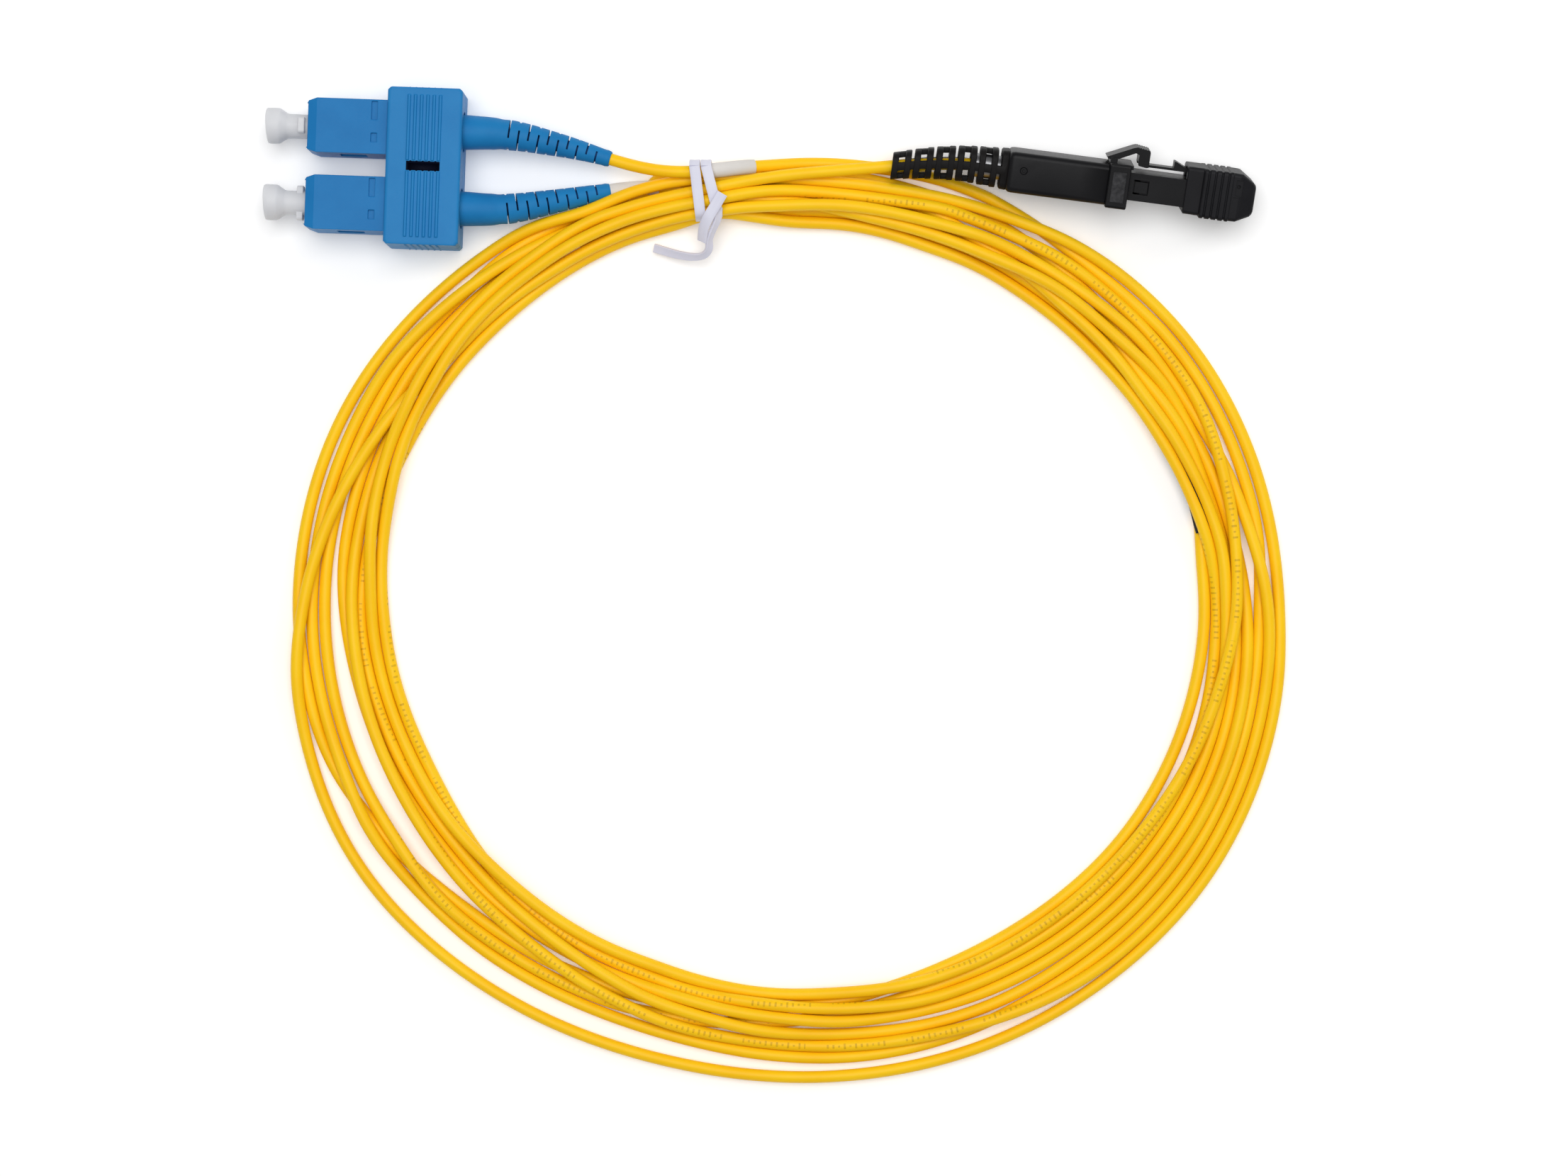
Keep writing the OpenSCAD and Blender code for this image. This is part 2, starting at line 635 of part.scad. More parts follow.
module breakout_sleeve() color([0.1, 0.1, 0.11]) in_layout() at_coil(sleeve_turn, sleeve_offset)
    translate([0, 0, sleeve_r]) tube(-sleeve_len / 2, sleeve_len / 2, sleeve_r, cord_d / 2);

module twist_tie() color([0.9, 0.9, 0.95]) in_layout() at_coil(tie_turn, 0) {
    rotate([90, 0, 90]) translate([0, 0, -tie_w / 2]) linear_extrude(tie_w) difference() {
        translate([tie_low, 0]) square([tie_high - tie_low, tie_h]);
        translate([tie_low + tie_t, tie_t]) square([tie_high - tie_low - 2 * tie_t, tie_h - 2 * tie_t]);
    }
    translate([-tie_w / 2, tie_low - 2.6, 2.2]) cube([tie_w, 2.7, 0.6]);
    translate([-tie_w / 2 - 5.6, tie_low - 3.0, 2.2]) cube([5.8 + tie_w, 1.2, 0.6]);
}

clip_lower_half();
clip_upper_half();
outer_housing(1);  // outer_housing_a
outer_housing(-1);  // outer_housing_b
plug_frame(1);  // plug_frame_a
plug_frame(-1);  // plug_frame_b
ferrule(1);  // ferrule_a
ferrule(-1);  // ferrule_b
ferrule_flange(1);  // ferrule_flange_a
ferrule_flange(-1);  // ferrule_flange_b
ferrule_spring(1);  // ferrule_spring_a
ferrule_spring(-1);  // ferrule_spring_b
back_post(1);  // back_post_a
back_post(-1);  // back_post_b
crimp_ring(1);  // crimp_ring_a
crimp_ring(-1);  // crimp_ring_b
buffered_fibre(1);  // buffered_fibre_a
buffered_fibre(-1);  // buffered_fibre_b
boot(1);  // boot_a
boot(-1);  // boot_b
dust_cap(1);  // dust_cap_a
dust_cap(-1);  // dust_cap_b
jack_plug_housing();
jack_latch_arm();
jack_latch_collar();
jack_release_trigger();
jack_rear_body();
jack_ferrule();
jack_ferrule_spacer();
jack_ferrule_spring();
jack_spring_push();
jack_crimp_ring();
jack_fibre_pair();
jack_boot();
jack_dust_cap();
coil();
leg_a();
leg_b();
trunk();
label_sleeve_a();
label_sleeve_b();
breakout_sleeve();
twist_tie();
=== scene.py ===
"""Fibre optic patch cord: the looks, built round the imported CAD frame.

Lengths are in millimetres until a mesh is made. "Layout" is the turned frame that the coil and
the two-fibre plug are drawn in; coil places are (turn, offset, height), the turn in degrees
clockwise from the coil's top and the offset outwards from its middle oval.
"""
import bpy
import bmesh
import math
import numpy as np
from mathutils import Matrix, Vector


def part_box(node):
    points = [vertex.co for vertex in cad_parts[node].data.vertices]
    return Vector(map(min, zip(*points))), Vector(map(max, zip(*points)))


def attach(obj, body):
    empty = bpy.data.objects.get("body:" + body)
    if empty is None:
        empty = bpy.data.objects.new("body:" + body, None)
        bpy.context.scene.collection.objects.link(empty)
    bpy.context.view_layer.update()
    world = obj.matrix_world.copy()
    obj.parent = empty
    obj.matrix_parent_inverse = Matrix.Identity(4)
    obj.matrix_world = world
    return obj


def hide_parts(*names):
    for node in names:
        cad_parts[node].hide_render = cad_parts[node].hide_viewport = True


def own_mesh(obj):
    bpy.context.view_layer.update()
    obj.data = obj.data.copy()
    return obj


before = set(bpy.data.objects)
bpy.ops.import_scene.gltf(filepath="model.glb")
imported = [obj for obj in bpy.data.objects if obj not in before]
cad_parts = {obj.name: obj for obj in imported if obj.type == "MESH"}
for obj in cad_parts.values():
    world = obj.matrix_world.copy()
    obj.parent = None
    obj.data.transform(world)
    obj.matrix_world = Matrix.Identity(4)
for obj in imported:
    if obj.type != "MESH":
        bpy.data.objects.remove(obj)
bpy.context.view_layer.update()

MM = 0.001
SAME_POINT = 2e-6
UP = np.array([0.0, 0.0, 1.0])

# ---------- driving dimensions, as in part.scad ----------

PLUG_PITCH = 12.7
SIDE_Y = PLUG_PITCH / 2
AXIS_Z = 4.8
CLIP_LEN, CLIP_W, CLIP_H = 12.4, 25.9, 9.6
CLIP_REAR, CLIP_FRONT = CLIP_LEN / 2, -CLIP_LEN / 2
HOUSING_OUT = 13.6
FRONT = CLIP_FRONT - HOUSING_OUT
BOOT_D, BOOT_MID_D, BOOT_TIP_D = 5.8, 5.0, 2.9
BOOT_BEND_X, BOOT_MID_X, BOOT_END_X = 9.4, 14.2, 30.6
BOOT_SHIFT = {1: -3.4, -1: 4.7}
BOOT_DROP = {1: -0.9, -1: -3.3}
BOOT_CURVE = 1.8
CORD_D = 2.0
LAY_TURN = math.radians(2.0)
COIL_CENTRE = np.array([60.2, -72.1])
COIL_RADIUS = np.array([75.4, 71.1])
JACK_ROOT = np.array([96.5, 0.0, 5.45])
JACK_TURN, JACK_ROLL = math.radians(-7.5), math.radians(14.0)
JACK_BOOT_LEN, JACK_BEND_X, JACK_BOOT_SHIFT, JACK_BOOT_CURVE = 19.0, -5.6, -2.0, 1.7
TIE_TURN = 349.5
SLEEVE_TURN, SLEEVE_OFFSET, SLEEVE_R, SLEEVE_LEN = 71.0, -4.7, 1.7, 22.0

# Routes of the free stretches, in layout millimetres
LEG_A_ROUTE = [(33.2, 0.7, 4.1), (36.6, -0.4, 4.8), (40.6, -1.1, 5.4), (45.8, -0.6, 5.6),
               (50.6, 0.2, 4.45), (54.2, 0.6, 3.4), (57.4, 0.9, 2.5), (61.4, 1.3, 1.6),
               (65.8, 1.4, 1.1), (70.2, 1.2, 1), (74.8, 0.7, 1), (80, 0, 1),
               (85.4, -1.2, 1), (90.6, -3, 1), (95.6, -5.2, 1), (100.6, -8.1, 1),
               (105, -11.4, 1), (108.6, -14.4, 1)]
LEG_B_ROUTE = [(31.4, -2.7, 1.45), (34.8, -2.4, 1.35), (38.6, -2.4, 1.2), (42, -2.6, 1.4),
               (45.6, -3, 1.6), (49.2, -3.6, 1.4)]
TRUNK_ROUTE = [(46, -3.8, 4.4), (50, -2.5, 4.5), (54, -1.6, 4.7), (58, -1, 4.8),
               (62.4, -0.6, 4.9), (67, -0.4, 5), (72, 0, 5)]

# ---------- frames ----------


def turned(p):
    """A layout point in the CAD frame."""
    c, s = math.cos(LAY_TURN), math.sin(LAY_TURN)
    return np.array([p[0] * c - p[1] * s, p[0] * s + p[1] * c, p[2]])


def unturned(p):
    """A CAD-frame point in the layout."""
    c, s = math.cos(LAY_TURN), math.sin(LAY_TURN)
    return np.array([p[0] * c + p[1] * s, p[1] * c - p[0] * s, p[2]])


def in_jack(p):
    """A point of the two-fibre plug's own axes in the layout frame."""
    y = p[1] * math.cos(JACK_ROLL) - p[2] * math.sin(JACK_ROLL)
    z = p[1] * math.sin(JACK_ROLL) + p[2] * math.cos(JACK_ROLL)
    c, s = math.cos(JACK_TURN), math.sin(JACK_TURN)
    return JACK_ROOT + np.array([p[0] * c - y * s, p[0] * s + y * c, z])


def coil_place(turn, offset, height):
    """A layout point from its place in the coil."""
    a = math.radians(turn)
    across = COIL_CENTRE + (COIL_RADIUS + offset) * np.array([math.sin(a), math.cos(a)])
    return np.array([across[0], across[1], height])


def coil_turn_offset(p):
    """The turn and offset of a layout point; the turn runs on below zero left of the top."""
    offset = 0.0
    for _ in range(12):
        q = (np.asarray(p[:2]) - COIL_CENTRE) / (COIL_RADIUS + offset)
        turn = math.atan2(q[0], q[1])
        offset += (np.hypot(*q) - 1) * (COIL_RADIUS[0] + COIL_RADIUS[1]) / 2
    return math.degrees(turn), offset


def boot_part(x):
    """How much of a square plug boot's sideways bend is reached at x."""
    return max(0.0, (x - BOOT_BEND_X) / (BOOT_END_X - BOOT_BEND_X)) ** BOOT_CURVE


def boot_point(side, x):
    part = boot_part(x)
    return np.array([x, side * SIDE_Y + BOOT_SHIFT[side] * part, AXIS_Z + BOOT_DROP[side] * part])


def boot_width(x):
    if x < BOOT_MID_X:
        return BOOT_D - (BOOT_D - BOOT_MID_D) * (x - CLIP_REAR) / (BOOT_MID_X - CLIP_REAR)
    return BOOT_MID_D - (BOOT_MID_D - BOOT_TIP_D) * (x - BOOT_MID_X) / (BOOT_END_X - BOOT_MID_X)


def jack_boot_point(x):
    part = max(0.0, (x - JACK_BEND_X) / (-JACK_BEND_X - JACK_BOOT_LEN)) ** JACK_BOOT_CURVE
    return np.array([x, JACK_BOOT_SHIFT * part, 0.0])


# ---------- camera ----------

CAMERA_PLACE = (61.9, -67.4, 600)
LENS, SENSOR = 82.3, 36

camera = bpy.data.objects.new("camera", bpy.data.cameras.new("camera"))
bpy.context.scene.collection.objects.link(camera)
camera.location = [c * MM for c in CAMERA_PLACE]
camera.rotation_euler = (0, 0, LAY_TURN)
camera.data.lens = LENS
camera.data.sensor_width = SENSOR
camera.data.clip_start = 0.01
bpy.context.scene.camera = camera

# ---------- the cords' lanes in the coil ----------
# Each gate is (turn, offset, level); a level is a layer of cord, 0 on the floor.
# One list is one time round, from the tie to the tie.

LAYER = 1.73
TRUNK_LANES = [
    [(74, -4.7, 0.4), (80, -4.9, 0.3), (90, -5.6, 0), (100, -5.9, 0), (130, -5.5, 0), (150, -5.9, 0),
     (165, -5.2, 0), (180, -4.2, 0), (195, -2.5, 0), (210, -0.8, 0), (225, 1.2, 0), (240, 3.8, 0),
     (250, 5.9, 0.2), (258, 7, 0.5), (270, 6.4, 0.8), (295, 6.2, 0.6), (310, 5, 0.8),
     (325, 3.8, 1.4), (332, 3.2, 2), (338, 2.7, 2), (345, 1.6, 1.4), (350, 0.8, 1.1)],
    [(0, -1.2, 1), (10, -1, 1), (27, 1.5, 1), (35, 3.2, 1), (50, 5.8, 0.4), (65, 6.1, 0),
     (90, 6.3, 0), (110, 8.4, 0), (130, 9.5, 0), (155, 9.2, 0), (180, 8, 0), (195, 7.4, 0),
     (220, 9, 0), (237, 10.4, 0), (252, 9, 0.5), (262, 7.2, 1.6), (270, 5.5, 2.1),
     (282, 2.2, 2.2), (294, -1, 2), (303, -3, 1.2), (310, -4.2, 1), (316, -4.6, 1),
     (330, -4.5, 1.5), (345, -4.4, 2), (350, -4.4, 2)],
    [(0, -5, 2), (20, -4, 1.5), (40, -1.8, 1), (60, -0.2, 1), (70, 1.2, 1), (80, 3, 1),
     (90, 4.3, 1), (110, 6.7, 1), (130, 7.4, 1), (150, 6, 1.2), (160, 4.8, 1.4), (170, 3.9, 1.6),
     (180, 3, 1.8), (188, 2, 2), (205, 0, 2), (220, -2, 2), (240, -3, 1.8),
     (255, -2.7, 1.2), (270, -2.3, 1), (290, -2.5, 1), (310, -2.2, 1), (345, -1.4, 1),
     (350, -1.4, 1)],
    [(0, -4.2, 1), (15, -6, 1), (40, -4.3, 1), (70, -2.2, 1), (80, -0.9, 1), (90, 0.7, 1),
     (110, 3, 1), (130, 3.7, 1), (155, 3.5, 1), (170, 2, 1.2), (180, 0.5, 1.5),
     (195, -1.8, 1.6), (210, -3.8, 1.6), (225, -4.8, 1.5), (240, -4.8, 1), (255, -4.3, 1),
     (270, -3.8, 0.4), (280, -4.9, 0.2), (289, -6, 0.5), (305, -5.9, 1), (322, -5.3, 0.8),
     (345, -4.6, 1), (350, -4.6, 1)],
    [(0, -6.2, 0.8), (15, -6.8, 0.6), (30, -7.1, 0.3), (45, -7, 0.4), (60, -6.4, 1.4),
     (75, -5.2, 1.9), (85, -3.9, 1.4), (97, -2.4, 0.6), (110, -2.2, 0), (130, -2.2, 0),
     (157, -3, 0), (170, -2.2, 0), (180, -1, 0), (192, 0.3, 0), (204, 1.5, 0.2),
     (215, 2.1, 0.6), (240, 2.6, 1), (270, 2, 1), (290, 2, 1), (310, 1.6, 0.6),
     (330, 1.5, 0), (345, 1.6, 0), (350, 1.7, 0)],
    [(0, 1, 0), (10, -1, 0), (25, -4, 0.2), (45, -5.6, 0.4), (60, -5, 1.5),
     (70, -4.2, 2), (80, -3.4, 1.5), (87, -2.5, 1.2), (95, -1.8, 1), (105, -1, 1),
     (120, 0, 1), (135, -0.6, 1), (150, -1, 1), (165, -2.2, 1), (180, -4, 1),
     (195, -4.8, 0.8), (210, -5.8, 0.4), (225, -6.3, 0), (232, -7.4, 0), (240, -8.4, 0),
     (255, -8.4, 0), (270, -7.6, 0.6), (280, -6.6, 1.4), (290, -5.5, 2), (305, -3.8, 2.2),
     (320, -2.4, 2), (345, -2.1, 2), (350, -2.2, 2)],
    [(0, -2.8, 2), (20, -1.8, 2), (40, 0.8, 2), (55, 1.9, 2), (70, 1, 2.2), (80, -0.1, 2.2),
     (90, -1.1, 2.2), (100, -2, 2), (120, -3.3, 1.5), (150, -4.5, 1), (180, -5.5, 1),
     (195, -6, 1.2), (210, -6.6, 1.4), (225, -7.4, 1.5), (240, -7.2, 1.5), (255, -6.4, 1.5),
     (270, -5.6, 1.6), (290, -3.8, 2), (310, -1.5, 2.2), (330, -0.6, 2)],
]
LEG_A_LANE = [(50, 3.6, 0), (65, 4, 0), (80, 3.7, 0), (95, 3.4, 0), (115, 4.7, 0), (135, 5.6, 0),
              (150, 5.6, 0), (165, 5.4, 0), (178, 4.6, 0), (190, 3.3, 0), (205, 3, 0.3),
              (220, 4.1, 0.8), (240, 4.8, 1), (255, 4.6, 1), (270, 4.2, 1), (285, 3.7, 0.9),
              (315, 1.8, 0.5), (330, 0.4, 0.2), (345, -0.5, 0), (360, -0.2, 0), (375, 0.6, 0),
              (390, 0.6, 0), (405, -1.2, 0), (415, -2.8, 0.2), (422, -3.7, 0.4), (427, -3.9, 0.4)]
LEG_B_LANE = [(358, -2.4, 0), (370, -3.2, 0), (385, -4.2, 0), (405, -4.4, 0.5), (420, -3.2, 1),
              (430, -2.5, 1), (440, -1.8, 1), (450, -0.8, 1), (460, 0.4, 1), (475, 1.5, 1),
              (495, 1.4, 1), (510, 1.2, 1), (525, 0, 1), (540, -2.2, 0.7), (555, -3.2, 0.3),
              (570, -3.6, 0), (585, -3.4, 0), (600, -3.6, 0), (615, -3, 0), (630, -1.5, 0),
              (645, -0.6, 0), (660, 0, 0), (680, -0.9, 0), (705, -3.8, 0), (710, -4.4, 0),
              (720, -4, 0), (740, -4.6, 0), (760, -5.2, 0), (775, -5.6, 0.1), (782, -5.6, 0.4),
              (787, -5.5, 0.4)]

SLICE = 1.5
SLICES = round(360 / SLICE)

# Settling: how far the strands sink, drift back to their lanes, part and straighten in a round
SINK, DRIFT, PART, STRAIGHTEN = 0.012, 0.03, 0.8, 0.45
ROUNDS, LAST_ROUNDS, LAST_STRAIGHTEN = 420, 40, 0.08
LANE_SMOOTHING = 12
# Degrees of the coil that the tie holds together, and the offsets it holds them between
TIE_REACH, TIE_SIDES = 2.4, (-4.85, 2.25)


class Strand:
    """A run of cord, or of something that cords lie against, sampled once a slice of the coil."""

    def __init__(self, gates, radius=CORD_D / 2, free=True):
        turns = [g[0] for g in gates]
        first, last = math.ceil(turns[0] / SLICE), math.floor(turns[-1] / SLICE)
        self.step = np.arange(first, last + 1)
        at = self.step * SLICE
        rows = [np.interp(at, turns, [g[k] for g in gates]) for k in (1, 2)]
        self.place = np.stack(rows, 1)
        self.radius = np.full(len(at), radius) if np.isscalar(radius) else np.interp(at, turns, radius)
        self.free = np.full(len(at), free)
        if free:
            self.smooth(LANE_SMOOTHING)
        self.wanted = self.place[:, 0].copy()

    def smooth(self, times, share=0.5):
        for _ in range(times):
            mean = (self.place[:-2] + self.place[2:]) / 2
            inner = self.place[1:-1]
            self.place[1:-1] = inner + share * self.free[1:-1, None] * (mean - inner)

    def points(self):
        return [turned(coil_place(t * SLICE, *p)) for t, p in zip(self.step, self.place)]


def lane_gates(lane, round_no=0):
    return [(t + 360 * round_no, r, CORD_D / 2 + LAYER * level) for t, r, level in lane]


def route_gates(route, ahead=0):
    """A layout route as gates, its turns running on from the top."""
    gates = []
    for p in route:
        turn, offset = coil_turn_offset(p)
        gates.append((turn + 360 * ahead, offset, p[2]))
    return gates


def settle(strands):
    """Moves the strands apart to where cords can lie: none in another, none in the floor."""
    first = np.cumsum([0] + [len(s.step) for s in strands])
    step = np.concatenate([s.step for s in strands])
    radius = np.concatenate([s.radius for s in strands])
    free = np.concatenate([s.free for s in strands]).astype(float)
    wanted = np.concatenate([s.wanted for s in strands])
    lists = [np.flatnonzero(step % SLICES == k) for k in range(SLICES)]
    table = np.full((SLICES, max(map(len, lists))), -1)
    for k, ids in enumerate(lists):
        table[k, :len(ids)] = ids
    near_tie = np.abs((step * SLICE - TIE_TURN + 180) % 360 - 180) < TIE_REACH
    for n in range(ROUNDS):
        place = np.concatenate([s.place for s in strands])
        last = n > ROUNDS - LAST_ROUNDS
        if not last:
            place[:, 1] -= SINK * free
            place[:, 0] += DRIFT * free * (wanted - place[:, 0])
        for a in range(table.shape[1]):
            for b in range(a):
                both = (table[:, a] >= 0) & (table[:, b] >= 0)
                i, j = table[both, a], table[both, b]
                gap = place[i] - place[j]
                apart = np.hypot(gap[:, 0], gap[:, 1]) + 1e-6
                lap = np.maximum(0, radius[i] + radius[j] - apart)
                share = free[i] + free[j]
                lap = np.where(share > 0, lap / np.maximum(share, 1), 0)
                push = gap / apart[:, None] * lap[:, None] * PART
                place[i] += push * free[i, None]
                place[j] -= push * free[j, None]
        squeeze = near_tie & (free > 0)
        place[squeeze, 0] = np.clip(place[squeeze, 0], *TIE_SIDES)
        place[:, 1] = np.where(free > 0, np.maximum(place[:, 1], radius), place[:, 1])
        for s, a, b in zip(strands, first, first[1:]):
            s.place = place[a:b]
            s.smooth(1, LAST_STRAIGHTEN if last else STRAIGHTEN)


def joined(*runs, step=1.9, reach=9, rounds=16):
    """One evenly spaced run from several: two rounds ease all of it, the rest only the joins."""
    points, joins = [], []
    for run in runs:
        if points:
            joins.append((points[-1] + run[0]) / 2)
        points += [np.array(p, float) for p in run]
    points = np.array(points)
    far = np.concatenate([[0], np.cumsum(np.linalg.norm(np.diff(points, axis=0), axis=1))])
    at = np.linspace(0, far[-1], round(far[-1] / step))
    path = np.stack([np.interp(at, far, points[:, k]) for k in range(3)], 1)
    ease = np.zeros(len(path))
    for join in joins:
        middle = int(np.argmin(np.linalg.norm(path - join, axis=1)))
        ease[max(1, middle - reach):middle + reach] = 1
    ease[[0, -1]] = 0
    for k in range(rounds):
        share = np.where(ease > 0, 0.5, 0.5 if k < 2 else 0.0)[1:-1, None]
        path[1:-1] += share * ((path[:-2] + path[2:]) / 2 - path[1:-1])
    return list(path)


def smooth_route(points, times=1):
    """Midpoint-refined points on a Catmull-Rom curve through the given ones."""
    for _ in range(times):
        p = np.array([points[0], *points, points[-1]])
        middle = (-p[:-3] + 9 * p[1:-2] + 9 * p[2:-1] - p[3:]) / 16
        out = np.empty((2 * len(points) - 1, 3))
        out[0::2] = points
        out[1::2] = middle
        points = out
    return [np.array(q) for q in points]


trunk_gates = []
for round_no, lane in enumerate(TRUNK_LANES):
    trunk_gates += lane_gates(lane, round_no)
tail_gates = route_gates(TRUNK_ROUTE, len(TRUNK_LANES))
lead_a_gates, lead_b_gates = route_gates(LEG_A_ROUTE), route_gates(LEG_B_ROUTE)
trunk_strand = Strand(trunk_gates + tail_gates[:1])
tail_strand = Strand(tail_gates, free=False)
leg_a_strand = Strand(lead_a_gates[-1:] + lane_gates(LEG_A_LANE))
leg_a_lead = Strand(lead_a_gates, free=False)
leg_b_strand = Strand(lead_b_gates[-1:] + lane_gates(LEG_B_LANE, -1))
leg_b_lead = Strand(lead_b_gates, free=False)
boot_stations = np.linspace(20, BOOT_END_X, 9)
boot_b_strand = Strand(route_gates([unturned(boot_point(-1, x)) for x in boot_stations]),
                       radius=[boot_width(x) / 2 for x in boot_stations], free=False)
strands = [trunk_strand, tail_strand, leg_a_strand, leg_a_lead, leg_b_strand, leg_b_lead,
           boot_b_strand]
settle(strands)

# ---------- mesh helpers, in CAD-frame millimetres ----------


def make_object(name, verts, faces, material=None, body=None, smooth=False, spots=None):
    """A new piece; spots are the places of each face's corners in the map "run"."""
    mesh = bpy.data.meshes.new(name)
    mesh.from_pydata([tuple(float(c) * MM for c in v) for v in verts], [], faces)
    if spots is not None:
        uv = mesh.uv_layers.new(name="run")
        uv.data.foreach_set("uv", [c for face in spots for spot in face for c in spot])
    mesh.polygons.foreach_set("use_smooth", [smooth] * len(mesh.polygons))
    bm = bmesh.new()
    bm.from_mesh(mesh)
    bmesh.ops.recalc_face_normals(bm, faces=bm.faces)
    bm.to_mesh(mesh)
    bm.free()
    obj = bpy.data.objects.new(name, mesh)
    bpy.context.scene.collection.objects.link(obj)
    if material is not None:
        mesh.materials.append(material)
    if body is not None:
        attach(obj, body)
    return obj


def axes_along(path):
    """Side and up directions at each point of a path that is nowhere upright."""
    path = np.array(path)
    along = np.gradient(path, axis=0)
    along /= np.linalg.norm(along, axis=1)[:, None]
    side = np.cross(UP, along)
    side /= np.linalg.norm(side, axis=1)[:, None]
    return along, side, np.cross(along, side)


def once_round(count):
    """Evenly spread angles, once round."""
    return np.linspace(0, 2 * math.pi, count, endpoint=False)


def circle_rings(path, radii, sides):
    _, side, up = axes_along(path)
    return [[p + r * (math.cos(a) * s + math.sin(a) * u) for a in once_round(sides)]
            for p, r, s, u in zip(path, radii, side, up)]


def loft(name, rings, material, body="cord_assembly", loop=False):
    """Rings of equal count joined into a skin, capped or looped; U is the length along, V the way round."""
    sides = len(rings[0])
    verts = [v for ring in rings for v in ring]
    spans = len(rings) if loop else len(rings) - 1
    faces, spots = [], []
    centres = np.array([np.mean(ring, axis=0) for ring in rings])
    far = np.concatenate([[0], np.cumsum(np.linalg.norm(np.diff(centres, axis=0), axis=1))]) * MM
    far = np.append(far, far[-1])
    for i in range(spans):
        j = (i + 1) % len(rings)
        for k in range(sides):
            n = (k + 1) % sides
            faces.append((i * sides + k, i * sides + n, j * sides + n, j * sides + k))
            spots.append(((far[i], k / sides), (far[i], (k + 1) / sides),
                          (far[i + 1], (k + 1) / sides), (far[i + 1], k / sides)))
    if not loop:
        last = (len(rings) - 1) * sides
        for cap in (tuple(range(sides))[::-1], tuple(last + k for k in range(sides))):
            faces.append(cap)
            spots.append(tuple((far[0], 0.0) for _ in cap))
    return make_object(name, verts, faces, material, body, True, spots)


# ---------- materials ----------


def srgb(r, g, b):
    """An 8-bit screen colour as linear light."""
    def linear(c):
        c /= 255
        return c / 12.92 if c <= 0.04045 else ((c + 0.055) / 1.055) ** 2.4
    return (linear(r), linear(g), linear(b), 1.0)


class Nodes:
    """A new node material with a few short ways to add to it."""

    def __init__(self, name):
        self.material = bpy.data.materials.new(name)
        self.material.use_nodes = True
        self.tree = self.material.node_tree
        self.shader = self.tree.nodes["Principled BSDF"]
        self.coords = self.add("ShaderNodeTexCoord").outputs["Object"]

    def add(self, kind, **values):
        node = self.tree.nodes.new(kind)
        for key, value in values.items():
            setattr(node, key, value)
        return node

    def link(self, a, b):
        self.tree.links.new(a, b)

    def noise(self, scale, detail=3.0, vector=None):
        node = self.add("ShaderNodeTexNoise")
        node.inputs["Scale"].default_value = scale
        node.inputs["Detail"].default_value = detail
        self.link(vector if vector is not None else self.coords, node.inputs["Vector"])
        return node.outputs["Fac"]

    def span(self, value, low, high, start=0.0, end=1.0):
        node = self.add("ShaderNodeMapRange")
        for key, v in zip(("From Min", "From Max", "To Min", "To Max"), (start, end, low, high)):
            node.inputs[key].default_value = v
        self.link(value, node.inputs["Value"])
        return node.outputs["Result"]

    def mix(self, share, a, b):
        node = self.add("ShaderNodeMix", data_type="RGBA")
        for socket, value in ((node.inputs["Factor"], share), (node.inputs["A"], a),
                              (node.inputs["B"], b)):
            if isinstance(value, (tuple, float, int)):
                socket.default_value = value
            else:
                self.link(value, socket)
        return node.outputs["Result"]

    def math(self, kind, a, b=0.0, c=0.0):
        node = self.add("ShaderNodeMath", operation=kind)
        for socket, value in zip(node.inputs, (a, b, c)):
            if isinstance(value, (int, float)):
                socket.default_value = value
            else:
                self.link(value, socket)
        return node.outputs["Value"]

    def bump(self, height, strength, distance):
        node = self.add("ShaderNodeBump")
        node.inputs["Strength"].default_value = strength
        node.inputs["Distance"].default_value = distance
        self.link(height, node.inputs["Height"])
        self.link(node.outputs["Normal"], self.shader.inputs["Normal"])

    def set(self, **values):
        for key, value in values.items():
            self.shader.inputs[key.replace("_", " ")].default_value = value


GRAIN_DEPTH = 0.00002


def plastic(name, colour, deep, rough=0.42, grain=2600.0, relief=0.25, cloud=160.0, **extra):
    """Moulded plastic: a fine eroded grain, and a faint cloudiness in colour and gloss."""
    m = Nodes(name)
    cloudy = m.noise(cloud, 4)
    fine = m.noise(grain, 2)
    m.link(m.mix(m.span(cloudy, 0, 1, 0.3, 0.75), srgb(*colour), srgb(*deep)),
           m.shader.inputs["Base Color"])
    m.link(m.span(fine, rough - 0.07, rough + 0.1), m.shader.inputs["Roughness"])
    m.bump(fine, relief, GRAIN_DEPTH)
    m.set(**{"Specular_IOR_Level": 0.14, **extra})
    return m.material


# The ticks on the cord: pitch of one and of a group in metres, and how much of each is filled
TICK_PITCH, TICK_FILL = 0.00095, 0.36
GROUP_PITCH, GROUP_FILL = 0.0136, 0.78


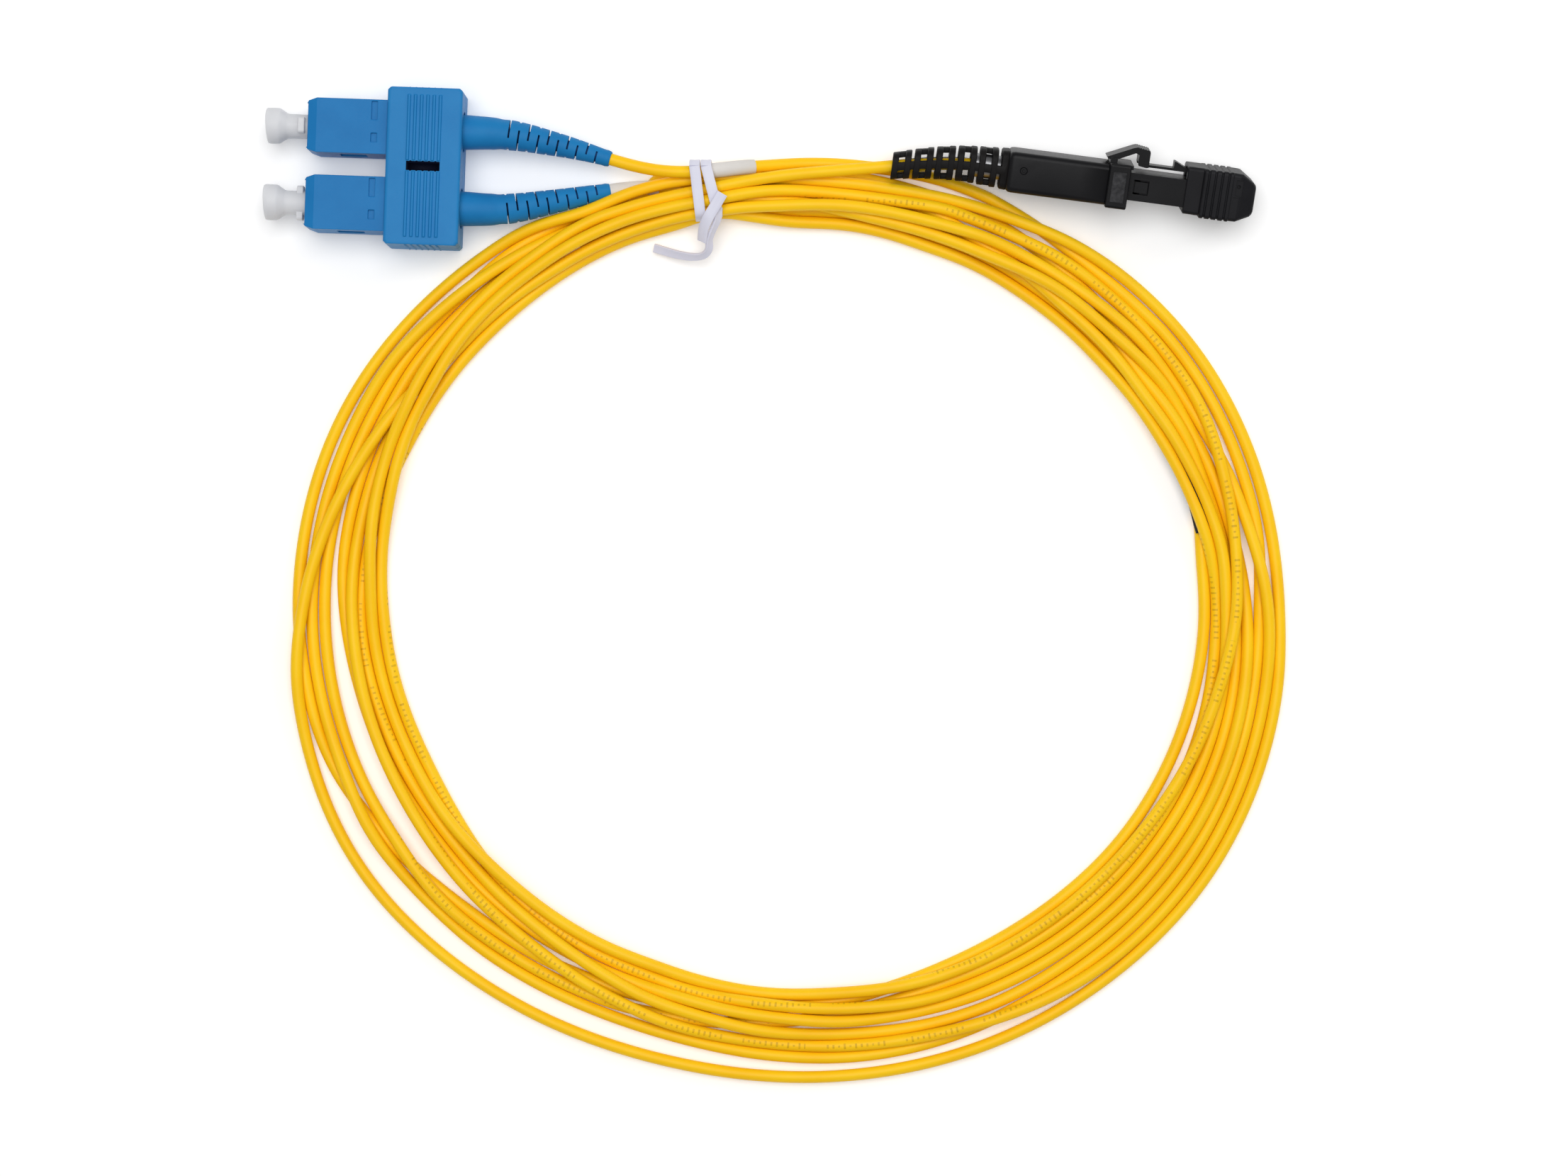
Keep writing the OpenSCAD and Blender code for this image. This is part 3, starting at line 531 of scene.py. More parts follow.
def jacket(name):
    """Extruded cord jacket: draw lines along it and a faint row of plain ticks."""
    m = Nodes(name)
    uv = m.add("ShaderNodeUVMap", uv_map="run").outputs["UV"]
    split = m.add("ShaderNodeSeparateXYZ")
    m.link(uv, split.inputs[0])
    run, around = split.outputs["X"], split.outputs["Y"]
    scaled = m.add("ShaderNodeCombineXYZ")
    m.link(m.math("MULTIPLY", run, 30.0), scaled.inputs["X"])
    m.link(m.math("MULTIPLY", around, 40.0), scaled.inputs["Y"])
    lines = m.noise(1.0, 2, scaled.outputs["Vector"])
    cloudy = m.noise(90.0, 3)
    base = m.mix(m.span(cloudy, 0, 1, 0.35, 0.7), srgb(253, 203, 20), srgb(250, 194, 12))

    # A row of ticks in groups, each tick of its own height
    from_row = m.math("SUBTRACT", m.math("FRACT", m.math("ADD", around, 0.25)), 0.5)
    off_row = m.math("ABSOLUTE", from_row)
    cell = m.math("MULTIPLY", run, 1 / TICK_PITCH)
    chance = m.add("ShaderNodeTexWhiteNoise", noise_dimensions="1D")
    m.link(m.math("FLOOR", cell), chance.inputs["W"])
    half_height = m.math("MULTIPLY_ADD", chance.outputs["Value"], 0.06, 0.022)
    tick = m.math("MULTIPLY", m.math("LESS_THAN", off_row, half_height),
                  m.math("LESS_THAN", m.math("FRACT", cell), TICK_FILL))
    groups = m.math("FRACT", m.math("MULTIPLY", run, 1 / GROUP_PITCH))
    group = m.math("LESS_THAN", groups, GROUP_FILL)
    worn = m.span(m.noise(1400.0, 2), 0.1, 0.55)
    inked = m.math("MULTIPLY", m.math("MULTIPLY", tick, group), worn)
    m.link(m.mix(inked, base, srgb(120, 88, 20)), m.shader.inputs["Base Color"])
    m.link(m.span(lines, 0.34, 0.48), m.shader.inputs["Roughness"])
    m.bump(lines, 0.12, GRAIN_DEPTH)
    m.set(Subsurface_Weight=0.1, Subsurface_Radius=(1.0, 0.5, 0.1), Subsurface_Scale=0.0006,
          Specular_IOR_Level=0.2)
    return m.material


BLUE = plastic("blue_plastic", (28, 119, 182), (22, 111, 174))
BLUE_CLIP = plastic("blue_clip_plastic", (36, 126, 187), (30, 119, 181))
BLACK = plastic("black_plastic", (22, 22, 24), (15, 15, 17), rough=0.36)
CAP_WHITE = plastic("white_cap_plastic", (216, 217, 220), (206, 207, 211), rough=0.35,
                    Subsurface_Weight=0.4, Subsurface_Radius=(1.0, 1.0, 1.0), Subsurface_Scale=0.002)
LABEL = plastic("label_sleeve_vinyl", (218, 214, 209), (208, 204, 199), rough=0.5)
TIE_WHITE = plastic("tie_vinyl", (220, 220, 233), (210, 210, 226), rough=0.35)
STEEL = plastic("brushed_steel", (150, 150, 152), (130, 130, 133), rough=0.35, Metallic=1.0)
BLACK_PANEL = plastic("black_stippled", (62, 62, 64), (34, 34, 36), rough=0.6, grain=900.0,
                      relief=0.8, cloud=1500.0)
# Near-black navy for the liner inside the clip's slot: painted shade.
SLOT_SHADE = plastic("slot_painted_shade", (8, 14, 40), (5, 8, 26), rough=0.7)
# Darker blue of the boot core seen through the slits: painted shade.
BLUE_SLIT_SHADE = plastic("blue_boot_core_painted_shade", (16, 60, 110), (10, 44, 90), rough=0.6)
BLUE_BOOT = plastic("blue_boot_rubber", (30, 124, 184), (22, 112, 172), rough=0.5)
RUBBER = plastic("black_rubber", (24, 22, 22), (16, 15, 15), rough=0.5,
                 Specular_IOR_Level=0.1)
BLACK_CAP = plastic("black_cap_plastic", (28, 28, 31), (19, 19, 22), rough=0.42,
                    Specular_IOR_Level=0.12)
CERAMIC = plastic("white_ceramic", (238, 238, 236), (230, 230, 228), rough=0.2, relief=0.05)
BUFFER = plastic("fibre_buffer", (232, 226, 210), (222, 214, 196), rough=0.45)
RESIN = plastic("dark_resin", (46, 46, 50), (38, 38, 42), rough=0.45)
JACKET = jacket("yellow_jacket_vinyl")

# ---------- CAD parts that stay ----------

CAD_FINISH = {"clip_lower_half": BLUE_CLIP, "clip_upper_half": BLUE_CLIP,
              "jack_plug_housing": BLACK, "jack_latch_arm": BLACK, "jack_spring_push": BLACK,
              "jack_ferrule": RESIN, "jack_ferrule_spacer": RESIN, "jack_crimp_ring": STEEL,
              "jack_fibre_pair": BUFFER}
EDGES = {"jack_plug_housing": 0.12, "jack_latch_arm": 0.06, "jack_spring_push": 0.1,
         "jack_ferrule": 0.08, "jack_ferrule_spacer": 0.08}
for end in ("a", "b"):
    for node, material in (("outer_housing_", BLUE), ("plug_frame_", BLUE), ("ferrule_", CERAMIC),
                           ("ferrule_flange_", STEEL), ("back_post_", STEEL),
                           ("crimp_ring_", STEEL), ("buffered_fibre_", BUFFER)):
        CAD_FINISH[node + end] = material
    EDGES["outer_housing_" + end], EDGES["plug_frame_" + end] = 0.16, 0.15


def soften(obj, width, segments=2):
    """Rounds the hard edges of a moulded part."""
    weld = obj.modifiers.new("weld", "WELD")
    weld.merge_threshold = SAME_POINT
    bevel = obj.modifiers.new("edges", "BEVEL")
    bevel.width, bevel.segments, bevel.limit_method = width * MM, segments, "ANGLE"
    bevel.angle_limit = math.radians(38)
    return obj


for node, material in CAD_FINISH.items():
    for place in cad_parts[node].material_slots:
        place.material = material
for node, width in EDGES.items():
    soften(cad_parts[node], width)


def round_clip_half(node, face_z, wide=0.55, rib=0.19, fine=0.13, slot=0.04):
    """A broad round on the edges of the outer face, and finer ones on every other edge."""
    obj = soften(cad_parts[node], wide, 4)
    bevel = obj.modifiers["edges"]
    bevel.limit_method, bevel.use_clamp_overlap = "WEIGHT", False
    mesh = obj.data
    weights = mesh.attributes.new("bevel_weight_edge", "FLOAT", "EDGE")
    bm = bmesh.new()
    bm.from_mesh(mesh)
    bmesh.ops.remove_doubles(bm, verts=bm.verts, dist=SAME_POINT)
    half = CLIP_W / 2 * MM
    sharp = set()
    for edge in bm.edges:
        if len(edge.link_faces) == 2 and edge.calc_face_angle(0) > math.radians(30):
            sharp.add(tuple(sorted(tuple(round(c * 1e5) for c in v.co) for v in edge.verts)))
    for edge in mesh.edges:
        ends = [mesh.vertices[k].co for k in edge.vertices]
        if tuple(sorted(tuple(round(c * 1e5) for c in co) for co in ends)) not in sharp:
            continue
        on_face = all(abs(co.z - face_z * MM) < 1e-5 for co in ends)
        on_rim = all(abs(co.y) > half - 0.5 * MM or abs(co.x) > CLIP_REAR * MM - 1e-5 for co in ends)
        on_rib = all(co.z > (CLIP_H + 0.1) * MM for co in ends)
        on_slot = all(abs(co.y) < 0.85 * MM for co in ends)
        width = wide if on_face and on_rim else rib if on_rib else slot if on_slot else fine
        weights.data[edge.index].value = width / wide
    bm.free()


round_clip_half("clip_upper_half", CLIP_H)
round_clip_half("clip_lower_half", 0.0)

# ---------- cords ----------


def cord_mesh(name, path, print_turns=lambda far: 0.5):
    """A jacketed cord; print_turns says how far round the printed side is rolled from the top."""
    path = smooth_route(path)
    cord = loft(name, circle_rings(path, [CORD_D / 2] * len(path), 16), JACKET)
    for spot in cord.data.uv_layers["run"].data:
        spot.uv.y += print_turns(spot.uv.x)
    return cord, path


def stands_for(piece, finish_slot, *nodes):
    """Puts a piece in the place of CAD nodes by hiding those nodes; finish_slot is not used."""
    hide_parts(*nodes)


BOOT_STATIONS = (12.0, 15.0, 18.0, 21.0, 24.0, 27.0, BOOT_END_X)
in_jack_boot = [turned(in_jack(jack_boot_point(x))) for x in np.arange(-JACK_BOOT_LEN, -5.7, 2.6)]
trunk_points = joined(in_jack_boot[::-1], [turned(p) for p in TRUNK_ROUTE[::-1]],
                      trunk_strand.points()[::-1])

# Where the printed side of the trunk faces up, in turns back from its two-fibre plug
PRINT_UP = [(0.62, 0.98), (1.30, 1.48), (2.36, 2.48), (2.62, 2.72), (3.16, 3.22), (4.30, 4.48)]
ROLL_TURNS = 0.08
TURN_LEN = 2 * math.pi * float(COIL_RADIUS.mean()) * MM


def trunk_print(far):
    """0 where the print is on top, half a turn elsewhere, with a slow roll between."""
    turns = far / TURN_LEN
    away = min(max(low - turns, turns - high, 0.0) for low, high in PRINT_UP)
    return 0.5 * min(1.0, away / ROLL_TURNS)


trunk_cord, trunk_path = cord_mesh("trunk_cord", trunk_points, trunk_print)
leg_a_points = joined([boot_point(1, x) for x in BOOT_STATIONS], [turned(p) for p in LEG_A_ROUTE],
                      leg_a_strand.points()[1:])
leg_a_cord, leg_a_path = cord_mesh("leg_a_cord", leg_a_points)
leg_b_points = joined([boot_point(-1, x) for x in BOOT_STATIONS[:-1]],
                      [turned(p) for p in LEG_B_ROUTE], leg_b_strand.points()[1:])
leg_b_cord, leg_b_path = cord_mesh("leg_b_cord", leg_b_points)
stands_for(trunk_cord, "yellow_jacket", "coil", "trunk")
stands_for(leg_a_cord, "yellow_jacket", "leg_a")
stands_for(leg_b_cord, "yellow_jacket", "leg_b")

# ---------- shaped pieces ----------


def shaped_by(obj, kind, cutter):
    """Joins a cutter to a piece or cuts it away, and drops the cutter."""
    boolean = obj.modifiers.new("shape", "BOOLEAN")
    boolean.operation, boolean.object, boolean.solver = kind, cutter, "EXACT"
    made = bpy.data.meshes.new_from_object(obj.evaluated_get(bpy.context.evaluated_depsgraph_get()))
    obj.modifiers.clear()
    obj.data = made
    bpy.data.objects.remove(cutter)
    return obj


def prism(outline, low, high, place):
    """A flat outline drawn in X and Y, made solid from low to high in Z, then placed."""
    n = len(outline)
    verts = [place((x, y, z)) for z in (low, high) for x, y in outline]
    faces = [tuple(range(n))[::-1], tuple(range(n, 2 * n))]
    faces += [(k, (k + 1) % n, (k + 1) % n + n, k + n) for k in range(n)]
    return make_object("cutter", verts, faces)


def cuboid(x0, x1, y0, y1, z0, z1):
    """A box along the two-fibre plug's own axes."""
    return prism([(x0, y0), (x1, y0), (x1, y1), (x0, y1)], z0, z1, at_jack)


def here(p):
    return np.array(p, float)


def at_jack(p):
    return turned(in_jack(here(p)))


def out_from(way, near, far):
    """A span on one side of the middle, its lower end first."""
    return sorted((way * near, way * far))


def finished(obj, name, material, body, edge):
    """Names a shaped piece, gives it its material and body, and softens its edges."""
    obj.name = obj.data.name = name
    obj.data.materials.clear()
    obj.data.materials.append(material)
    for face in obj.data.polygons:
        face.use_smooth = False
        face.material_index = 0
    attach(obj, body)
    if edge:
        soften(obj, edge)
    return obj


def smooth_by_angle(obj, degrees=35):
    """Smooth shading that breaks at the sharp edges."""
    bm = bmesh.new()
    bm.from_mesh(obj.data)
    for edge in bm.edges:
        edge.smooth = len(edge.link_faces) == 2 and edge.calc_face_angle(0) < math.radians(degrees)
    for face in bm.faces:
        face.smooth = True
    bm.to_mesh(obj.data)
    bm.free()
    return obj


def rounded_ring(x, half_y, half_z, corner, place, y0=0.0, z0=0.0, steps=5):
    """A rounded rectangle across the X axis."""
    ring = []
    for quarter, (sy, sz) in enumerate(((1, 1), (-1, 1), (-1, -1), (1, -1))):
        for k in range(steps + 1):
            a = math.pi / 2 * (quarter + k / steps)
            ring.append(place((x, y0 + sy * (half_y - corner) + corner * math.cos(a),
                               z0 + sz * (half_z - corner) + corner * math.sin(a))))
    return ring


# Square plug boots: a smooth root, then leaves parted by slits from alternate sides

BOOT_ROOT_X = 5.0
BOOT_SLITS, SLIT_W, FIRST_SLIT_X, SLIT_PITCH = 10, 0.3, 13.7, 1.62
BOOT_BORE, BOOT_CORE, CORE_FIRST = CORD_D / 2 + 0.02, 0.12, 20
FOLLOW_X, FOLLOW_OVER = 14.0, 6.0


def boot_centre(side, x):
    """The boot's axis: its own curve at the root, and its cord's from there on."""
    path = np.array((leg_a_path if side > 0 else leg_b_path)[:40])
    follow = min(1.0, max(0.0, (x - FOLLOW_X) / FOLLOW_OVER))
    on_cord = np.array([np.interp(x, path[:, 0], path[:, k]) for k in range(3)])
    return (1 - follow) * boot_point(side, x) + follow * on_cord


def made_width(x):
    """The boot's width: waisted behind the root, slimmer to the tip, with a small bead there."""
    width = boot_width(max(x, CLIP_REAR))
    width -= 0.25 * max(0.0, 1 - abs(x - 12.6) / 1.2)
    width -= 0.38 * max(0.0, (x - 18.0) / 12.6)
    return width + 0.16 * max(0.0, 1 - abs(x - 30.0) / 0.5)


def plug_boot(name, side):
    """One boot, and a core that shows in its slits, in a darker blue that is painted shade."""
    stations = np.concatenate([[BOOT_ROOT_X, BOOT_ROOT_X + 0.1], np.arange(5.6, 30.2, 0.4),
                               [30.35, 30.5, BOOT_END_X]])
    radii = [made_width(x) / 2 - (0.1 if x in (BOOT_ROOT_X, BOOT_END_X) else 0.0) for x in stations]
    path = [boot_centre(side, x) for x in stations]
    inner = circle_rings(path, [BOOT_BORE + BOOT_CORE - 0.02] * len(path), 36)
    obj = loft(name, circle_rings(path, radii, 36) + inner[::-1], BLUE_BOOT, loop=True)
    slits_at = np.arange(FIRST_SLIT_X, 30.2, SLIT_PITCH)
    along, across, up = axes_along([boot_centre(side, x) for x in slits_at])
    for k in range(BOOT_SLITS):
        x = FIRST_SLIT_X + k * SLIT_PITCH
        centre, a, s, u = boot_centre(side, x), along[k], across[k], up[k]
        s = s * (side if k % 2 == 0 else -side)
        r = boot_width(x) / 2
        far = r + 1
        slit = prism([(-0.3 * r, -far), (far, -far), (far, far), (-0.3 * r, far)], -SLIT_W / 2, SLIT_W / 2,
                     lambda p: centre + p[2] * a + p[0] * s + p[1] * u)
        shaped_by(obj, "DIFFERENCE", slit)
        # Each slit ends in a notch: a wide one on its open side, a narrow one opposite
        for way, w, rim, root in ((-1, 0.5, r + 0.28, 0.87 * r), (1, 0.34, r + 0.25, 0.91 * r)):
            notch = prism([(-w, rim), (w, rim), (0.15 * w, root), (-0.15 * w, root)], -far, far,
                          lambda p: centre + p[0] * a + p[1] * s * way + p[2] * u)
            shaped_by(obj, "DIFFERENCE", notch)
    # The core under the slits, in darker blue: painted shade in the slits.
    path = path[CORE_FIRST:]
    outer, inner = (circle_rings(path, [r] * len(path), 32) for r in (BOOT_BORE + BOOT_CORE, BOOT_BORE))
    core = loft(name + "_core", outer + inner[::-1], BLUE_SLIT_SHADE, loop=True)
    smooth_by_angle(obj)
    soften(obj, 0.07)
    return obj, core


def plug_cap(name, side, body, sides=44):
    """A plug's dust cap: a soft plastic thimble with a flared head and a collar."""
    profile = [(0.0, 0.0), (0.02, 2.6), (0.1, 2.86), (0.35, 2.97), (1.2, 2.98), (2.0, 2.95),
               (2.25, 2.86), (2.6, 2.62), (3.3, 2.16), (3.6, 2.06), (4.2, 2.03), (5.4, 2.02),
               (8.0, 2.0), (10.7, 1.98), (11.0, 1.85), (11.0, 1.32), (10.6, 1.3), (6.1, 1.3),
               (5.9, 1.1), (5.85, 0.0)]
    start = np.array([FRONT - 6.7, side * SIDE_Y, AXIS_Z])
    rings = []
    for x, r in profile:
        made = max(r, 0.002)
        ring = []
        for k in range(sides):
            a = 2 * math.pi * k / sides
            # The head was trimmed a little out of square
            skew = -0.07 * r * math.cos(a) * max(0.0, 1 - x / 1.2)
            ring.append(start + np.array([x + skew, made * math.cos(a), made * math.sin(a)]))
        rings.append(ring)
    obj = loft(name, rings, CAP_WHITE, body=None)
    wide, tall = (1.3, 2.85) if side > 0 else (2.85, 1.3)
    bar = [rounded_ring(FRONT - x, wide - inset, tall - inset, 0.5, here, side * SIDE_Y, AXIS_Z)
           for x, inset in ((1.3, 0.12), (1.2, 0.0), (0.3, 0.0), (0.2, 0.12))]
    shaped_by(obj, "UNION", loft("collar", bar, CAP_WHITE, body=None))
    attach(obj, body)
    return smooth_by_angle(obj, 40)


for side, end in ((1, "a"), (-1, "b")):
    for piece in plug_boot("plug_boot_" + end, side):
        stands_for(piece, "blue_boot", "boot_" + end)
    stands_for(plug_cap("plug_cap_" + end, side, "cap_" + end), "white_cap", "dust_cap_" + end)


def clip_detail():
    """Fine ribs on the clip's end faces, and a near-black liner in its slot: painted shade."""
    ribs = None
    for way in (-1, 1):
        for k in range(6):
            x, y = (k - 2.5) * 1.03, CLIP_W / 2 - 0.12
            profile = [(x + 0.26 * math.cos(a), way * (y + 0.26 * math.sin(a))) for a in once_round(12)]
            rings = [[here((px, py, z)) for px, py in profile] for z in (0.8, 8.75, 8.9)]
            rings[2] = [0.7 * p + 0.3 * np.mean(rings[2], axis=0) for p in rings[2]]
            rib = loft("clip_end_ribs", rings, BLUE_CLIP, body=None)
            ribs = rib if ribs is None else shaped_by(ribs, "UNION", rib)
    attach(smooth_by_angle(ribs), "plug_grip")
    # A near-black liner inside the slot, standing in for its shade: painted shade.
    rings = [rounded_ring(0, 0.8 - i, 2.76 - i, 0.05, lambda p, z=z: here((p[2], p[1], z)), steps=1)
             for z, i in ((6.41, 0), (9.25, 0), (9.25, 0.06), (6.5, 0.06))]
    return ribs, loft("clip_slot_painted_shade", rings, SLOT_SHADE, body="plug_grip")


for piece in clip_detail():
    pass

# ---------- two-fibre plug ----------

JACK_AXIS_Y = 0.2
BODY_LEN, BODY_H, BODY_W = 16.6, 6.8, 8.4
COLLAR_END = 20.1
CAP_START, CAP_END, CAP_Y, CAP_H, CAP_W = 29.4, 41.0, 0.65, 8.2, 9.0
UNITS, UNIT_PITCH, PLATE_T, WINDOW = 5, 3.55, 1.02, 1.02


def jack_boot_r(x):
    return 3.35 + 1.15 * x / JACK_BOOT_LEN


def boot_bar(stations, half_y, half_z, corner, beside):
    """A bar along the boot's bent axis; beside gives its Y and Z off that axis."""
    rings = []
    for x in stations:
        y, z = beside(x)
        rings.append(rounded_ring(x, half_y, half_z, corner, at_jack, jack_boot_point(x)[1] + y, z, steps=2))
    return loft("bar", rings, RUBBER, body=None)


def jack_boot():
    """Plates in joined pairs: only a spine on each face joins one pair to the next."""
    root = [rounded_ring(x, 2.9 + d, 2.9 + d, 1.2, at_jack)
            for x, d in ((-1.2, 0.1), (-1.0, 0.3), (-0.1, 0.35), (0.9, 0.0))]
    hole = [rounded_ring(x, 1.95, 1.95, 1.9, at_jack) for x in (0.9, -0.1, -1.0, -1.2)]
    obj = loft("jack_boot_ladder", root + hole, RUBBER, loop=True)
    for unit in range(UNITS):
        start = -JACK_BOOT_LEN + unit * UNIT_PITCH
        for x in (start, start + PLATE_T + WINDOW):
            end = x + PLATE_T
            rings = []
            for at, inset in ((x, 0.1), (x + 0.12, 0), (end - 0.12, 0), (end, 0.1)):
                r = jack_boot_r(x) - inset
                rings.append(rounded_ring(at, r, r, 0.62 * r, at_jack, jack_boot_point(at)[1]))
            bore = CORD_D / 2 + 0.08 if x < -6.4 else 1.98
            rings += [rounded_ring(at, bore, bore, bore - 0.02, at_jack, jack_boot_point(at)[1])
                      for at in (end, x)]
            shaped_by(obj, "UNION", loft("plate", rings, RUBBER, body=None, loop=True))
        r = jack_boot_r(start + 1)
        bridge = np.linspace(start + 0.4, start + PLATE_T + WINDOW + 0.4, 5)
        for way in (-1, 1):
            shaped_by(obj, "UNION", boot_bar(bridge, 0.44, 0.9, 0.12, lambda x: (way * (r - 0.5), 0)))
    spine = np.linspace(-JACK_BOOT_LEN + 0.3, -0.4, 12)
    for way in (-1, 1):
        bar = boot_bar(spine, 0.68, 0.42, 0.15, lambda x: (0, way * (jack_boot_r(x) - 0.5)))
        shaped_by(obj, "UNION", bar)
    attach(obj, "cord_assembly")
    return smooth_by_angle(obj, 32)


def pin(x, y, rows, sides):
    """A round pin across the two-fibre plug, from its radii and heights."""
    rings = [[at_jack((x + r * math.cos(a), y + r * math.sin(a), z)) for a in once_round(sides)]
             for r, z in rows]
    return loft("pin", rings, BLACK, body=None)


def jack_body():
    """The rear body: a box with well-rounded long edges, drawn in a little at the boot."""
    half_y, half_z = BODY_H / 2, BODY_W / 2
    rings = []
    for x, inset in ((0.0, 0.55), (0.12, 0.28), (0.4, 0.08), (0.9, 0.0), (6.0, 0.0), (12.0, 0.0),
                     (BODY_LEN - 0.15, 0.0), (BODY_LEN, 0.12)):
        rings.append(rounded_ring(x, half_y - inset, half_z - inset, 1.0, at_jack, steps=8))
    rings += [rounded_ring(x, half_y - 0.8, half_z - 0.6, 0.5, at_jack, steps=8) for x in (BODY_LEN, 1.4)]
    rings += [rounded_ring(x, 2.5, 2.5, 2.45, at_jack, steps=8) for x in (1.4, 0.0)]
    obj = loft("jack_body_shell", rings, BLACK, loop=True)
    # The gate mark: a shallow dish with a pip in its middle
    dish = ((0.75, half_z + 0.3), (0.62, half_z - 0.1), (0.5, half_z - 0.22))
    pip = ((0.26, half_z - 0.4), (0.26, half_z - 0.1), (0.2, half_z - 0.04))
    shaped_by(obj, "DIFFERENCE", pin(2.6, 0.5, dish, 24))
    shaped_by(obj, "UNION", pin(2.6, 0.5, pip, 16))
    return smooth_by_angle(obj, 40)


def jack_collar():
    """The collar: a square frame with a sunk panel on each side face, and the trigger's ears."""
    half_y, half_z, panel = 3.7, 4.6, 0.24
    rings = []
    for x, inset in ((BODY_LEN, 0.15), (BODY_LEN + 0.15, 0), (COLLAR_END - 0.15, 0), (COLLAR_END, 0.15)):
        rings.append(rounded_ring(x, half_y - inset, half_z - inset, 0.45, at_jack))
    rings += [rounded_ring(x, 2.33, 3.66, 0.1, at_jack, JACK_AXIS_Y) for x in (COLLAR_END, BODY_LEN)]
    obj = loft("jack_collar_panelled", rings, BLACK, loop=True)
    shaped_by(obj, "UNION", cuboid(COLLAR_END - 1.6, COLLAR_END + 0.35, 3.0, 3.66, -4.3, 4.3))
    for way in (-1, 1):
        shaped_by(obj, "DIFFERENCE", cuboid(BODY_LEN + 0.65, COLLAR_END - 0.6, -2.65, 2.45,
                                            *out_from(way, half_z - panel, half_z + 1)))
        shaped_by(obj, "UNION", cuboid(BODY_LEN - 0.05, BODY_LEN + 1.1, 3.5, 4.5, *out_from(way, 2.56, 3.4)))
    return finished(obj, "jack_collar_panelled", BLACK, "cord_assembly", 0.09)


def jack_trigger():
    """The release trigger in its CAD shape, with fine finger ribs across its crest."""
    obj = bpy.data.objects.new("trigger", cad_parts["jack_release_trigger"].data.copy())
    bpy.context.scene.collection.objects.link(obj)
    bm = bmesh.new()
    bm.from_mesh(obj.data)
    bmesh.ops.remove_doubles(bm, verts=bm.verts, dist=SAME_POINT / 2)
    bmesh.ops.dissolve_limit(bm, angle_limit=math.radians(0.5), verts=bm.verts, edges=bm.edges)
    bm.to_mesh(obj.data)
    bm.free()
    for k in range(5):
        x = 20.95 + 0.4 * k
        top = 6.6 - (x - 20.7) * 0.16
        rib = [(x - 0.11, top - 0.12), (x - 0.07, top + 0.08), (x + 0.07, top + 0.08), (x + 0.11, top - 0.12)]
        shaped_by(obj, "UNION", prism(rib, -2.35, 2.35, at_jack))
    return finished(obj, "jack_trigger_ribbed", BLACK, "jack_trigger", 0.07)


def jack_cap():
    """The dust cap: a narrow mouth, grip ribs, a chamfered nose, a gate recess and a parting line."""
    low, high, half = CAP_Y - CAP_H / 2, CAP_Y + CAP_H / 2, CAP_W / 2
    rows = [(CAP_START, low + 0.55, high - 0.15, 3.8), (CAP_START + 0.15, low + 0.35, high, 3.95),
            (32.0, low + 0.3, high, 4.0), (32.2, low + 0.05, high, 4.42), (32.35, low, high, half)]
    for groove in (32.95, 34.05, 35.15, 36.25):
        rows += [(groove - 0.22, low, high, half), (groove - 0.07, low + 0.18, high - 0.18, half - 0.18),
                 (groove + 0.07, low + 0.18, high - 0.18, half - 0.18), (groove + 0.22, low, high, half)]
    rows += [(36.9, low, high, half), (37.05, low + 0.12, high - 0.06, half - 0.12),
             (38.2, low + 0.15, high - 0.1, half - 0.12), (38.6, low + 0.34, high - 0.15, half - 0.2),
             (40.5, low + 1.15, high - 1.4, 3.4), (40.85, low + 1.5, high - 1.75, 3.15),
             (CAP_END, low + 1.8, high - 2.05, 2.9)]
    rings = [rounded_ring(x, (b - a) / 2, h, 0.6, at_jack, (a + b) / 2, steps=6) for x, a, b, h in rows]
    obj = loft("jack_cap_grooved", rings, BLACK_CAP, body=None)
    for box in ((28, 34.9, -2.15, 2.55, -3.68, 3.68), (28, 34.9, 2.3, 4.25, -2.0, 2.0),
                (37.55, 38.7, 0.95, 3.6, half - 0.36, half + 1)):
        shaped_by(obj, "DIFFERENCE", cuboid(*box))
    for way in (-1, 1):
        shaped_by(obj, "DIFFERENCE", cuboid(37.3, 40.0, 0.62, 0.7, *out_from(way, half - 0.24, half + 1)))
    shaped_by(obj, "DIFFERENCE", pin(38.0, 2.5, ((0.32, half - 0.8), (0.32, half - 0.2)), 20))
    return finished(obj, "jack_cap_grooved", BLACK_CAP, "jack_cap", 0.05)


def collar_panels():
    """A paler, stippled field in each sunk panel of the collar."""
    fields = [cuboid(BODY_LEN + 0.66, COLLAR_END - 0.61, -2.64, 2.44, *out_from(way, 4.3, 4.4))
              for way in (-1, 1)]
    return finished(shaped_by(fields[0], "UNION", fields[1]), "jack_collar_fields", BLACK_PANEL,
                    "cord_assembly", 0)


for make, finish_slot, node in ((collar_panels, "black_plastic", "jack_latch_collar"),
                                (jack_boot, "black_rubber", "jack_boot"),
                                (jack_body, "black_plastic", "jack_rear_body"),
                                (jack_collar, "black_plastic", "jack_latch_collar"),
                                (jack_trigger, "black_plastic", "jack_release_trigger"),
                                (jack_cap, "black_cap", "jack_dust_cap")):
    stands_for(make(), finish_slot, node)
